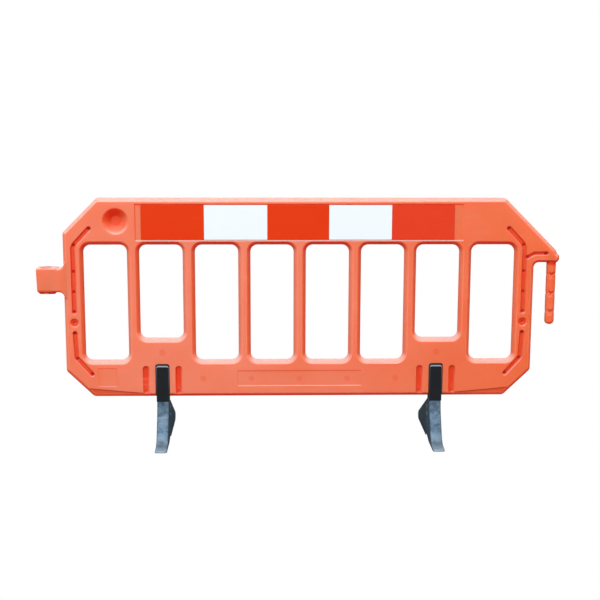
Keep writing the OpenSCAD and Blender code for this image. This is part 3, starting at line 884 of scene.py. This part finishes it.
def half_width(out):
    """Half width of the foot, which is rounded in plan at the toe."""
    past = min(max(out - (TOE_OUT - TOE_R), 0), TOE_R)
    return FOOT_HALF - TOE_R + math.sqrt(TOE_R ** 2 - past ** 2)


web = smooth_line(WEB_LINE, WEB_N)
slope = np.gradient(web, axis=0)
slope[0] = (0, -1)
slope /= np.linalg.norm(slope, axis=1)[:, None]
web_normal = np.column_stack((-slope[:, 1], slope[:, 0]))
fold_angles = np.radians((0, 30, 60, 90))
section = [(-1, angle) for angle in fold_angles] + [(1, angle) for angle in fold_angles[::-1]]
SECTION_N = len(section)
foot_points = []
for place, normal in zip(web, web_normal):
    for sign, angle in section:
        out, z = place - FOLD_R * (1 - math.sin(angle)) * normal
        x = min(FOOT_HALF - FOLD_R * (1 - math.cos(angle)), half_width(out))
        foot_points.append((sign * x, out, z))
foot_faces = flipped(grid_faces(WEB_N, SECTION_N, close_columns=False))

arm_first = len(foot_points)
arm_columns = (-ARM_HALF, -ARM_HALF + ARM_EDGE, ARM_HALF - ARM_EDGE, ARM_HALF)
ARM_N = len(arm_columns)
for z in (SHOULDER_Z + ARM_RISE, ARM_TOP):
    foot_points += [(x, WEB_OUT, z) for x in arm_columns]
row_starts = ((SECTION_N - ARM_N) // 2, arm_first, arm_first + ARM_N)
for here, there in zip(row_starts, row_starts[1:]):
    foot_faces += [(here + i, here + i + 1, there + i + 1, there + i) for i in range(ARM_N - 1)]
print("web of", WEB_N, "rows, and an arm up to", ARM_TOP, "mm")

# %% [markdown]
# The flanges are flat plates. Their outline starts along the fold, goes down at the toe, runs
# along the ground with a relief so that only the toe and the heel stand on it, turns round the
# heel and climbs back to the shoulder. The outline is filled with triangles.

# %% Flanges of a foot plate
HEEL_OUT, HEEL_R, HEEL_N = -325.9, 18.5, 14
CREST_OUT = -26.0
GROUND = 0.1
RELIEF = [(34, GROUND), (-31, 13), (-56, 13), (-66, GROUND)]
TOE_LIFT, TOE_GAP, TOE_N = 0.6, 1, 5
FLANGE_JOIN_GAP = 1e-4
heel_centre = np.array((HEEL_OUT + HEEL_R, HEEL_R + GROUND))
crest_at = np.array((CREST_OUT, SHOULDER_Z))
reach = crest_at - heel_centre
lean = math.atan2(reach[1], reach[0]) + math.acos(HEEL_R / np.linalg.norm(reach))
heel_arc = [heel_centre + HEEL_R * np.array((math.cos(angle), math.sin(angle)))
            for angle in np.linspace(-math.pi / 2, lean - 2 * math.pi, HEEL_N)]
toe_end = TOE_OUT - FOLD_R
toe_line = [(out, TOE_LIFT) for out in np.linspace(toe_end - TOE_GAP, toe_end - TOE_R, TOE_N)]
skirt = np.array(toe_line + RELIEF + heel_arc + [crest_at])
for sign, column in ((-1, 0), (1, SECTION_N - 1)):
    fold_ids = [row * SECTION_N + column for row in range(WEB_N)]
    border = np.vstack(([foot_points[i][1:] for i in fold_ids], skirt))
    ids = fold_ids + list(range(len(foot_points), len(foot_points) + len(skirt)))
    foot_points += [(sign * half_width(out), out, z) for out, z in skirt]
    ring = [(i, (i + 1) % len(border)) for i in range(len(border))]
    border_points = [Vector(place) for place in border]
    _, _, filled, sources, _, _ = delaunay_2d_cdt(
        border_points, ring, [], ONLY_INSIDE, FLANGE_JOIN_GAP
    )
    for triangle in filled:
        picked = [sources[i][0] for i in triangle]
        first, second, third = border[picked[:3]]
        order = [ids[i] for i in picked]
        foot_faces.append(order if cross(second - first, third - first) * sign < 0 else order[::-1])
print("skin of a foot:", len(foot_faces), "faces")

# %% [markdown]
# Both feet have the same skin. Solidify thickens it inwards, and a small bevel dresses the cut
# edges. The toe is rubbed and has a painted highlight, so its points store that for the material.

# %% Both foot plates
STEEL_T = 3.0
DRESSED, DRESSED_ANGLE = 0.5, 60
# places along the foot, and how strong the rubbed wear and painted highlight are there
TOE_RUB_AND_HIGHLIGHT = ((120, 150, TOE_OUT), (0, 0.3, 0.75))


def break_edges(made, name, width, angle):
    """Bevels the edges of an object that are sharper than an angle."""
    edge = made.modifiers.new(name, "BEVEL")
    edge.width = width * MM
    edge.segments = 2
    edge.angle_limit = math.radians(angle)


foot_plates = {}
for side, sign in SIDES.items():
    shifted = np.array(foot_points) + (sign * FOOT_X, 0, 0)
    made = piece(
        side + "_foot_steel", shifted, foot_faces, side + "_foot", "galvanised_steel", sharp=35,
        replaces=[side + "_foot_plate"],
    )
    steel = made.modifiers.new("steel thickness", "SOLIDIFY")
    steel.thickness = STEEL_T * MM
    steel.offset = -1
    steel.use_even_offset = True
    break_edges(made, "dressed edges", DRESSED, DRESSED_ANGLE)
    mark(made, "wear_and_highlight", np.interp(shifted[:, 1], *TOE_RUB_AND_HIGHLIGHT))
    foot_plates[side] = made
print("foot plates:", len(foot_plates))

# %% [markdown]
# ## Bolts
# Four round-headed bolts hold the rear arm of each foot. The frame has them with plain conical
# heads. Here each is turned on a lathe with a domed head and a threaded end. The washers, nuts
# and rear arms stay as the frame made them, with their edges broken by a bevel.

# %% Domed bolts
HEAD_R, HEAD_H, SHANK_R, SHANK_L = 9.6, 3.6, 4.0, 16.0
THREAD_FROM, THREAD_PITCH = 7.6, 1.25
# depth under the shank's surface, and share of the pitch
THREAD = ((0.55, 0.35), (0.05, 0.7), (0.05, 0.9))
TIP_CHAMFER, TIP_R = 0.8, 0.02
DOME_N, BOLT_N = 8, 24
dome = [(HEAD_R * math.cos(a), -HEAD_H * math.sin(a)) for a in np.linspace(math.pi / 2, 0, DOME_N)]
shank = [(SHANK_R, 0), (SHANK_R, THREAD_FROM)]
starts = np.arange(THREAD_FROM, SHANK_L - THREAD_PITCH, THREAD_PITCH)
thread = [(SHANK_R - deep, start + THREAD_PITCH * share) for start in starts for deep, share in THREAD]
tip = [(SHANK_R - TIP_CHAMFER, SHANK_L), (TIP_R, SHANK_L)]
lathe_line = dome + shank + thread + tip
one_bolt = grid_faces(len(lathe_line), BOLT_N)
bolt_sets = {}
for side in SIDES:
    name = side + "_foot_bolts"
    low, high = box_of(name)
    middle_out = MIDDLE_Y - (low[1] + high[1]) / 2
    bolt_points, bolt_faces = [], []
    for hand, head_x in ((1, low[0] - MIDDLE_X + HEAD_H), (-1, high[0] - MIDDLE_X - HEAD_H)):
        for z in (low[2] + HEAD_R, high[2] - HEAD_R):
            bolt_faces += [[len(bolt_points) + i for i in face] for face in one_bolt]
            for r, along in lathe_line:
                x = head_x + hand * along
                bolt_points += [(x, middle_out + r * c, z + hand * r * s) for c, s in round_points(BOLT_N)]
    bolt_sets[side] = piece(
        name + "_domed", bolt_points, bolt_faces, side + "_foot", "zinc_fasteners", sharp=45, replaces=[name]
    )

BROKEN = {"_rear_arm": 0.6, "_foot_washers": 0.25, "_foot_nuts": 0.6}
BROKEN_ANGLE = 25
for side in SIDES:
    for node, width in BROKEN.items():
        break_edges(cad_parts[side + node], "broken edges", width, BROKEN_ANGLE)
print("bolt sets:", len(bolt_sets))

# %% [markdown]
# ## Shared effects
# A material is a tree of shader nodes. A few short functions make the nodes and join them, so
# that a material reads as a list of what happens to its colour. Joining the nodes by hand in the
# editor gives the same trees.

# %% Shader helpers
# sockets of the Mix node when it mixes colours
MIX_FACTOR, MIX_FIRST, MIX_SECOND, MIX_RESULT = 0, 6, 7, 2


def join(tree, socket, value):
    """Links a socket to another one, or sets it to a value."""
    if isinstance(value, bpy.types.NodeSocket):
        tree.links.new(value, socket)
    else:
        socket.default_value = value


def add(tree, kind, settings=None, **inputs):
    """New shader node; inputs are values or sockets, with spaces in their names as underscores."""
    made = tree.nodes.new("ShaderNode" + kind)
    for key, value in (settings or {}).items():
        setattr(made, key, value)
    for key, value in inputs.items():
        join(tree, made.inputs[key.replace("_", " ")], value)
    return made


def calc(tree, operation, *values, kind="Math"):
    """Result of one operation on values or sockets."""
    made = add(tree, kind, {"operation": operation})
    for socket, value in zip(made.inputs, values):
        join(tree, socket, value)
    return made.outputs[0]


def product(tree, result, *factors):
    for factor in factors:
        result = calc(tree, "MULTIPLY", result, factor)
    return result


def ramp(tree, value, low, high, to_low=0.0, to_high=1.0):
    """Maps the range from low to high to another one, and holds at its ends."""
    made = add(tree, "MapRange", Value=value, From_Min=low, From_Max=high, To_Min=to_low, To_Max=to_high)
    return made.outputs["Result"]


def coats(tree, ground, *layers):
    """Lays colours over a ground colour, each through its own mask."""
    tone = (*ground, 1)
    for mask, colour in layers:
        mix = add(tree, "Mix", {"data_type": "RGBA"})
        for index, value in ((MIX_FACTOR, mask), (MIX_FIRST, tone), (MIX_SECOND, (*colour, 1))):
            join(tree, mix.inputs[index], value)
        tone = mix.outputs[MIX_RESULT]
    return tone


def noise(tree, place, scale, detail, rough=0.5):
    made = add(tree, "TexNoise", Vector=place, Scale=scale, Detail=detail, Roughness=rough)
    return made.outputs["Fac"]


def object_place(tree):
    return add(tree, "TexCoord").outputs["Object"]


def split(tree, vector):
    return add(tree, "SeparateXYZ", Vector=vector).outputs


def facing_of(tree):
    """Parts of the direction that the surface faces."""
    return split(tree, add(tree, "NewGeometry").outputs["Normal"])


print("shader helpers ready")

# %% [markdown]
# The same few things happen to all the materials: a moulded or rolled grain, scuffs from rough
# handling, and pale dust on what faces up. Each effect is a node group with named sockets, so
# that every material uses the same one at its own scale.

# %% Node groups
def new_group(name, inputs, outputs):
    """Node group with float sockets; gives its tree and the sockets inside it."""
    tree = bpy.data.node_groups.new(name, "ShaderNodeTree")
    for label, value in inputs.items():
        socket = tree.interface.new_socket(label, in_out="INPUT", socket_type="NodeSocketFloat")
        socket.default_value = value
    for label in outputs:
        tree.interface.new_socket(label, in_out="OUTPUT", socket_type="NodeSocketFloat")
    return tree, tree.nodes.new("NodeGroupInput").outputs, tree.nodes.new("NodeGroupOutput").inputs


def use_group(tree, group, **inputs):
    return add(tree, "Group", {"node_tree": group}, **inputs).outputs


BROAD_RANGE = (0.3, 0.7)
GRAIN, entry, leave = new_group("moulded_grain", {"Fine Scale": 900, "Broad Scale": 5}, ("Fine", "Broad"))
place = object_place(GRAIN)
fine = noise(GRAIN, place, entry["Fine Scale"], detail=3, rough=0.6)
broad = noise(GRAIN, place, entry["Broad Scale"], detail=4, rough=0.55)
join(GRAIN, leave["Fine"], fine)
join(GRAIN, leave["Broad"], ramp(GRAIN, broad, *BROAD_RANGE))

STREAK_RANGE, PATCH_RANGE = (0.56, 0.72), (0.42, 0.65)
SCUFFS, entry, leave = new_group("scuffs", {"Scale": 30, "Amount": 0.5}, ("Mask",))
place = object_place(SCUFFS)
stretched = add(SCUFFS, "Mapping", Vector=place, Rotation=(0.3, 0.4, 0.2), Scale=(0.25, 1, 1.4)).outputs[0]
streaks = ramp(SCUFFS, noise(SCUFFS, stretched, entry["Scale"], detail=6, rough=0.7), *STREAK_RANGE)
patches = ramp(SCUFFS, noise(SCUFFS, place, scale=4.0, detail=3), *PATCH_RANGE)
join(SCUFFS, leave["Mask"], product(SCUFFS, streaks, patches, entry["Amount"]))

UP_RANGE, CLOUD_RANGE = (0.2, 0.95), (0.3, 0.7, 0.35, 1)
DUST, entry, leave = new_group("dust", {"Amount": 0.4}, ("Mask",))
facing_up = ramp(DUST, facing_of(DUST)["Z"], *UP_RANGE)
clouds = ramp(DUST, noise(DUST, object_place(DUST), scale=14.0, detail=5, rough=0.6), *CLOUD_RANGE)
join(DUST, leave["Mask"], product(DUST, facing_up, clouds, entry["Amount"]))
print("node groups:", [group.name for group in bpy.data.node_groups])

# %% [markdown]
# ## Orange polyethylene
# The panel is coloured through, so its colour hardly changes where it wears. A pale sheen is
# painted on it, most on its left half, and a painted highlight on what faces up. Painted shade
# deepens the pressed details and what faces down or sideways, the creases get rubbed wear with a
# painted highlight, and the mould's fine texture spreads its gloss. Each of these is a coat of
# colour through a mask.

# %% Colours and ranges of the moulding
ORANGE, SUNLIT = (0.81, 0.147, 0.047), (0.84, 0.168, 0.060)
# painted sheen on the moulding, most on its left half; painted highlight on what faces up
PAINTED_SHEEN_COLOUR, UPWARD_HIGHLIGHT = (0.83, 0.25, 0.158), (0.58, 0.50, 0.51)
# painted shade: deep red on what faces down, darker red on what turns sideways
UNDERSIDE_SHADE, SIDE_WALL_SHADE = (0.97, 0.030, 0.003), (0.50, 0.050, 0.016)
# painted shade in the pressed details, and a near-black painted shadow in the gaps round the sleeves
PRESSED_SHADE, PRESSED_DEEP_SHADE, GAP_SHADOW = (0.78, 0.046, 0.008), (0.60, 0.010, 0.001), (0.04, 0.004, 0.003)
# rubbed wear with a painted highlight along the creases, then scuffs and dust
RUB_AND_HIGHLIGHT, SCUFFED, DUSTY = (0.95, 0.42, 0.30), (0.92, 0.33, 0.21), (0.80, 0.62, 0.52)
# shares of facing up and of facing right, whose difference says how much a place faces the sky
SKY_UP, SKY_RIGHT = 0.9, 0.25
# a range of a value, and what it becomes at the range's two ends
SHEEN_ALONG, SHEEN_LEFT_END, SHEEN_PATCHES = (0.95, 0.05), (-0.96, -0.7, 0.8, 1), (0, 1, 0.5, 0.85)
SHEEN_SKY, SHEEN_DEPTH = (-0.16, -0.02), (5, 14, 1, 0.45)
# painted highlight on what faces up, kept out of deep details
UPWARD_HIGHLIGHT_SKY, UPWARD_HIGHLIGHT_DEPTH = (0.15, 0.52, 0, 0.5), (4, 10, 1, 0)
# painted shade on what faces down
UNDER_SKY = (-0.06, -0.6, 0, 0.95)
# painted shade on faces turned sideways that do not face up
SIDE_TURN, SIDE_UP = (0.66, 0.15, 0, 0.55), (0.5, 0.1)
# the painted shade in the pressed details is stronger on walls that face right, away from the lamp
LEAN = (-0.8, 0.8, 0.5, 1.5)
PRESSED_SHADE_FROM, DEEP_SHADE_FROM, GAP_SHADOW_FROM = (0, 1, 0, 0.95), (1.1, 1.9, 0, 0.85), (2, 3, 0, 0.92)
MOULD_ROUGH = (0, 1, 0.36, 0.5)
RUB_AND_HIGHLIGHT_SHARE, SCUFF_ROUGH = 0.25, 0.2
print("orange:", ORANGE, "bleached:", PAINTED_SHEEN_COLOUR)

# %% [markdown]
# The coats go on in order, from the plain colour to the dust on top. The light that spreads inside
# the plastic is the shader's own, with even values.

# %% Material of the moulding
def new_material(name, **values):
    """Material with a Principled shader whose even values are set on its own sockets."""
    made = bpy.data.materials.new(name)
    made.use_nodes = True
    shader = made.node_tree.nodes["Principled BSDF"]
    for key, value in values.items():
        shader.inputs[key.replace("_", " ")].default_value = value
    return made, made.node_tree, shader.inputs


def dress(made, material):
    made.data.materials.clear()
    made.data.materials.append(material)


def stored(tree, name):
    return add(tree, "Attribute", {"attribute_name": name}).outputs["Fac"]


def surface(tree, shader, tone, rough, height, distance, strength):
    """Feeds a tone, a roughness and the height of a bump to a shader."""
    bump = add(tree, "Bump", Height=height, Distance=distance, Strength=strength)
    for socket, value in (("Base Color", tone), ("Roughness", rough), ("Normal", bump.outputs["Normal"])):
        join(tree, shader[socket], value)


orange, tree, shader = new_material(
    "orange_polyethylene", Specular_IOR_Level=0.22, Subsurface_Weight=0.6, Subsurface_Scale=0.03,
    Subsurface_Radius=(1.0, 0.05, 0.02),
)
grain = use_group(tree, GRAIN, Fine_Scale=700, Broad_Scale=4)
scuff = use_group(tree, SCUFFS, Scale=26, Amount=0.3)["Mask"]
dust = use_group(tree, DUST, Amount=0.22)["Mask"]
painted_shade, depth, wear_and_highlight = (stored(tree, name) for name in ("painted_shade", "depth", "wear_and_highlight"))
along = split(tree, object_place(tree))["X"]
facing = facing_of(tree)
rightward = product(tree, facing["X"], SKY_RIGHT)
skyward = calc(tree, "SUBTRACT", product(tree, facing["Z"], SKY_UP), rightward)
# painted sheen: most on the left half, in patches, kept off what faces down and off deep details
painted_sheen = product(
    tree, ramp(tree, along, *SHEEN_ALONG), ramp(tree, grain["Broad"], *SHEEN_PATCHES),
    ramp(tree, along, *SHEEN_LEFT_END), ramp(tree, skyward, *SHEEN_SKY), ramp(tree, depth, *SHEEN_DEPTH),
)
# painted highlight on what faces up
upward_highlight = product(tree, ramp(tree, skyward, *UPWARD_HIGHLIGHT_SKY), ramp(tree, depth, *UPWARD_HIGHLIGHT_DEPTH))
# faces turned sideways, which get painted shade
edge_on = ramp(tree, calc(tree, "ABSOLUTE", facing["Y"]), *SIDE_TURN)
# painted shade in the pressed details, stronger on walls facing right
leaning = product(tree, painted_shade, ramp(tree, facing["X"], *LEAN))
tone = coats(
    tree, ORANGE,
    (grain["Broad"], SUNLIT),
    (painted_sheen, PAINTED_SHEEN_COLOUR),
    (upward_highlight, UPWARD_HIGHLIGHT),
    (ramp(tree, skyward, *UNDER_SKY), UNDERSIDE_SHADE),
    (product(tree, edge_on, ramp(tree, facing["Z"], *SIDE_UP)), SIDE_WALL_SHADE),
    (ramp(tree, leaning, *PRESSED_SHADE_FROM), PRESSED_SHADE),
    (ramp(tree, leaning, *DEEP_SHADE_FROM), PRESSED_DEEP_SHADE),
    (ramp(tree, painted_shade, *GAP_SHADOW_FROM), GAP_SHADOW),
    (product(tree, wear_and_highlight, RUB_AND_HIGHLIGHT_SHARE), RUB_AND_HIGHLIGHT),
    (scuff, SCUFFED),
    (dust, DUSTY),
)
rough = calc(tree, "ADD", ramp(tree, grain["Fine"], *MOULD_ROUGH), product(tree, scuff, SCUFF_ROUGH))
surface(tree, shader, tone, rough, grain["Fine"], distance=0.0003, strength=0.5)
moulded = (panel, socket_box, neck, peg)
for made in moulded:
    dress(made, orange)
print("orange on", len(moulded), "pieces")

# %% [markdown]
# ## Reflective film
# The film is a layer of small prisms under a clear coat, sealed in cells of a few millimetres.
# The cells are drawn with a brick pattern, whose offset rows come close to the real honeycomb.

# %% Material of the sheets
PRISMS_PER_CELL = 4.0
CELLS, entry, leave = new_group("film_cells", {"Cell Scale": 260}, ("Wall", "Sparkle"))
parts = split(CELLS, object_place(CELLS))
upright = add(CELLS, "CombineXYZ", X=parts["X"], Y=parts["Z"], Z=0.0).outputs[0]
cells = add(CELLS, "TexBrick", {"offset": 0.5}, Vector=upright, Scale=entry["Cell Scale"], Mortar_Size=0.05,
            Mortar_Smooth=0.4, Brick_Width=1.0, Row_Height=0.86)
join(CELLS, leave["Wall"], cells.outputs["Fac"])
prism_scale = product(CELLS, entry["Cell Scale"], PRISMS_PER_CELL)
prisms = add(CELLS, "TexVoronoi", Vector=upright, Scale=prism_scale)
join(CELLS, leave["Sparkle"], prisms.outputs["Distance"])

WALL_SHARE, PATCH_SHARE = 0.5, 0.14
FILM_ROUGH, WORN_ROUGH = (0, 1, 0.4, 0.52), 0.25
# colours of the film, of its cells' walls and of its worn places, and how much it is scuffed
FILMS = {
    "red_reflective_film": ((0.71, 0.036, 0.002), (0.76, 0.055, 0.004), (0.76, 0.062, 0.012), 0.35),
    # the paler red of the right sheet is a painted sheen
    "red_film_painted_sheen": ((0.72, 0.042, 0.012), (0.77, 0.062, 0.018), (0.78, 0.085, 0.04), 0.35),
    "white_reflective_film": ((0.83, 0.90, 0.97), (0.70, 0.78, 0.87), (0.78, 0.83, 0.88), 0.3),
}


def film(name, colour, wall_colour, worn_colour, wear):
    made, tree, shader = new_material(name, Specular_IOR_Level=0.1, Coat_Weight=0.02, Coat_Roughness=0.2)
    cell = use_group(tree, CELLS, Cell_Scale=280)
    grain = use_group(tree, GRAIN, Fine_Scale=400, Broad_Scale=7)
    scuff = use_group(tree, SCUFFS, Scale=40, Amount=wear)["Mask"]
    tone = coats(
        tree, colour, (product(tree, cell["Wall"], WALL_SHARE), wall_colour),
        (product(tree, grain["Broad"], PATCH_SHARE), worn_colour), (scuff, worn_colour),
    )
    rough = calc(tree, "ADD", ramp(tree, cell["Sparkle"], *FILM_ROUGH), product(tree, scuff, WORN_ROUGH))
    surface(tree, shader, tone, rough, cell["Wall"], distance=0.0002, strength=0.3)
    return made


films = {name: film(name, *values) for name, values in FILMS.items()}
for name, made in sheets.items():
    dress(made, films["red_reflective_film" if name.startswith("red") else "white_reflective_film"])
# the right red sheet gets the film with the painted sheen
dress(sheets["red_sheet_right"], films["red_film_painted_sheen"])
print("film on", len(sheets), "sheets")

# %% [markdown]
# ## Sleeve plastic
# The sleeves are black moulded plastic with a fine texture, greyed by scuffs and dust, with a
# painted highlight along each top edge.

# %% Material of the sleeves
BLACK, BLACK_PATCH = (0.003, 0.005, 0.008), (0.005, 0.008, 0.012)
BLACK_SCUFFED, BLACK_DUSTY, BLACK_HIGHLIGHT = (0.03, 0.033, 0.037), (0.34, 0.40, 0.46), (0.40, 0.50, 0.60)
SLEEVE_ROUGH = (0, 1, 0.18, 0.28)
sleeve_black, tree, shader = new_material("black_sleeve_plastic", Specular_IOR_Level=0.3)
grain = use_group(tree, GRAIN, Fine_Scale=1100, Broad_Scale=20)
scuff = use_group(tree, SCUFFS, Scale=60, Amount=0.4)["Mask"]
dust = use_group(tree, DUST, Amount=0.15)["Mask"]
tone = coats(
    tree, BLACK, (grain["Broad"], BLACK_PATCH), (scuff, BLACK_SCUFFED), (dust, BLACK_DUSTY),
    (stored(tree, "wear_and_highlight"), BLACK_HIGHLIGHT),
)
rough = ramp(tree, grain["Fine"], *SLEEVE_ROUGH)
surface(tree, shader, tone, rough, grain["Fine"], distance=0.0002, strength=0.3)
for made in sleeves.values():
    dress(made, sleeve_black)
print("black on", len(sleeves), "sleeves")

# %% [markdown]
# ## Zinc
# The feet are hot-dip galvanised: the zinc freezes in crystals, so the colour and the gloss change
# from one crystal to the next. Cells of a Voronoi texture with bent edges look much like them. The
# fasteners are plain zinc that has lost its shine. Faces that turn sideways get painted shade.

# %% Materials of the feet
WARP, WARP_SCALE = 0.012, 60.0
SPANGLE, entry, leave = new_group("spangle", {"Scale": 90}, ("Crystal", "Edge"))
place = object_place(SPANGLE)
warp = add(SPANGLE, "TexNoise", Vector=place, Scale=WARP_SCALE, Detail=2.0).outputs["Color"]
bent = calc(SPANGLE, "MULTIPLY_ADD", warp, (WARP, WARP, WARP), place, kind="VectorMath")
crystals = add(SPANGLE, "TexVoronoi", Vector=bent, Scale=entry["Scale"])
shade = add(SPANGLE, "SeparateColor", Color=crystals.outputs["Color"]).outputs[0]
join(SPANGLE, leave["Crystal"], shade)
join(SPANGLE, leave["Edge"], crystals.outputs["Distance"])

CRYSTAL_SHARE, BROAD_SHARE = 0.55, 0.45
SIDE_SHADE_MOST, SIDE_SHADE_METALLIC = 0.72, 0.05
SIDEWAYS = (0.5, 0.95, 0, SIDE_SHADE_MOST)
ROUGH_CHANGE = 0.1
# colours of dark and light crystals, of worn places with the painted highlight, and of the
# painted shade on sideways faces; then scale, metallic and roughness
ZINCS = {
    "galvanised_steel": ((0.036, 0.068, 0.112), (0.16, 0.245, 0.33), (0.30, 0.40, 0.48),
                         (0.034, 0.048, 0.058), 70, 0.35, 0.5),
    "dull_zinc": ((0.10, 0.12, 0.14), (0.22, 0.25, 0.28), (0.30, 0.33, 0.36),
                  (0.05, 0.06, 0.07), 300, 0.6, 0.5),
}


def zinc_coat(name, dark, light, worn_and_highlight, deep, scale, metallic, rough):
    made, tree, shader = new_material(name, Specular_IOR_Level=0.0)
    spangle = use_group(tree, SPANGLE, Scale=scale)
    grain = use_group(tree, GRAIN, Fine_Scale=500, Broad_Scale=18)
    scuff = use_group(tree, SCUFFS, Scale=50, Amount=0.5)["Mask"]
    dust = use_group(tree, DUST, Amount=0.3)["Mask"]
    mottle = calc(tree, "ADD", product(tree, spangle["Crystal"], CRYSTAL_SHARE),
                  product(tree, grain["Broad"], BROAD_SHARE))
    # painted shade on faces that turn sideways, which also lose their metal gloss
    side_shade = ramp(tree, calc(tree, "ABSOLUTE", facing_of(tree)["X"]), *SIDEWAYS)
    tone = coats(
        tree, dark, (mottle, light), (scuff, worn_and_highlight), (dust, worn_and_highlight), (stored(tree, "wear_and_highlight"), worn_and_highlight), (side_shade, deep)
    )
    join(tree, shader["Metallic"], ramp(tree, side_shade, 0, SIDE_SHADE_MOST, metallic, SIDE_SHADE_METALLIC))
    gloss = ramp(tree, spangle["Crystal"], 0, 1, rough - ROUGH_CHANGE, rough + ROUGH_CHANGE)
    height = calc(tree, "ADD", spangle["Edge"], grain["Fine"])
    surface(tree, shader, tone, gloss, height, distance=0.0003, strength=0.35)
    return made


zincs = {name: zinc_coat(name, *values) for name, values in ZINCS.items()}
for side in SIDES:
    dress(foot_plates[side], zincs["galvanised_steel"])
    dress(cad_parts[side + "_rear_arm"], zincs["galvanised_steel"])
    dress(bolt_sets[side], zincs["dull_zinc"])
    for node in ("_foot_washers", "_foot_nuts"):
        dress(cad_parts[side + node], zincs["dull_zinc"])
print("materials:", sorted(material.name for material in bpy.data.materials))

# %% [markdown]
# ## Studio
# The photograph is a cut-out on white, lit softly from above. A pale floor, a bright even world
# and one large lamp above the camera give that light. The floor throws only a part of its light
# back, as a grey studio floor does, so undersides stay darker. The camera sees the white backdrop
# through it, so that a foot which is pulled down off the rail is not hidden by the floor.

# %% Floor and light
FLOOR_HALF = 40.0
FLOOR_CORNERS = ((-1, -1), (1, -1), (1, 1), (-1, 1))
FLOOR_GREY, FLOOR_PATCH = (0.31, 0.31, 0.31), (0.34, 0.34, 0.34)
mesh = bpy.data.meshes.new("floor")
mesh.from_pydata([(x * FLOOR_HALF, y * FLOOR_HALF, 0) for x, y in FLOOR_CORNERS], [], [(0, 1, 2, 3)])
floor = bpy.data.objects.new("floor", mesh)
bpy.context.scene.collection.objects.link(floor)
floor.visible_camera = False
pale, tree, shader = new_material("pale_floor", Roughness=0.8, Specular_IOR_Level=0.1)
cloud = use_group(tree, GRAIN, Fine_Scale=300, Broad_Scale=0.6)["Broad"]
join(tree, shader["Base Color"], coats(tree, FLOOR_GREY, (cloud, FLOOR_PATCH)))
dress(floor, pale)

# heights on the sky from below to above, and the light's strength there
SKY_STRENGTH = (-0.1, 0.9, 0.63, 1.1)
world = bpy.data.worlds.new("studio")
world.use_nodes = True
tree = world.node_tree
sky = tree.nodes["Background"].inputs
strength = ramp(tree, split(tree, add(tree, "TexCoord").outputs["Generated"])["Z"], *SKY_STRENGTH)
white = add(tree, "LightPath").outputs["Is Camera Ray"]
join(tree, sky["Strength"], calc(tree, "MAXIMUM", strength, white))
sky["Color"].default_value = (1, 1, 1, 1)
bpy.context.scene.world = world

LAMP_AT, LAMP_TARGET = Vector((-1.6, -6.0, 9.0)), Vector((0, 0, 0.6))
light = bpy.data.lights.new("key", "AREA")
light.size = 4.0
light.energy = 765
light.color = (1.0, 0.99, 0.98)
lamp = bpy.data.objects.new("key", light)
lamp.location = LAMP_AT
lamp.rotation_euler = (LAMP_TARGET - LAMP_AT).to_track_quat("-Z", "Y").to_euler()
bpy.context.scene.collection.objects.link(lamp)
print("lamp of", light.energy, "watts, floor of", 2 * FLOOR_HALF, "m")

# %% [markdown]
# The camera stands where the photograph was taken from. Its place and its three turns were fitted
# to the panel's straight edges and to the even pitch of its windows.

# %% Camera
CAMERA_AT = (-0.1309, -4.9764, 1.4885)
YAW, PITCH, ROLL = (math.radians(angle) for angle in (1.603, 10.424, -0.169))
forward = Vector((math.sin(YAW) * math.cos(PITCH), math.cos(YAW) * math.cos(PITCH), -math.sin(PITCH)))
right = Vector((math.cos(YAW), -math.sin(YAW), 0))
down = forward.cross(right)
turned_right = math.cos(ROLL) * right + math.sin(ROLL) * down
turned_down = -math.sin(ROLL) * right + math.cos(ROLL) * down
data = bpy.data.cameras.new("photo")
data.lens = 74.11
data.sensor_width = 36.0
camera = bpy.data.objects.new("photo", data)
turned_to = Matrix((turned_right, -turned_down, -forward)).transposed().to_4x4()
camera.matrix_world = Matrix.Translation(CAMERA_AT) @ turned_to
bpy.context.scene.collection.objects.link(camera)
bpy.context.scene.camera = camera
bpy.context.scene.view_settings.view_transform = "Standard"
print("camera at", CAMERA_AT)
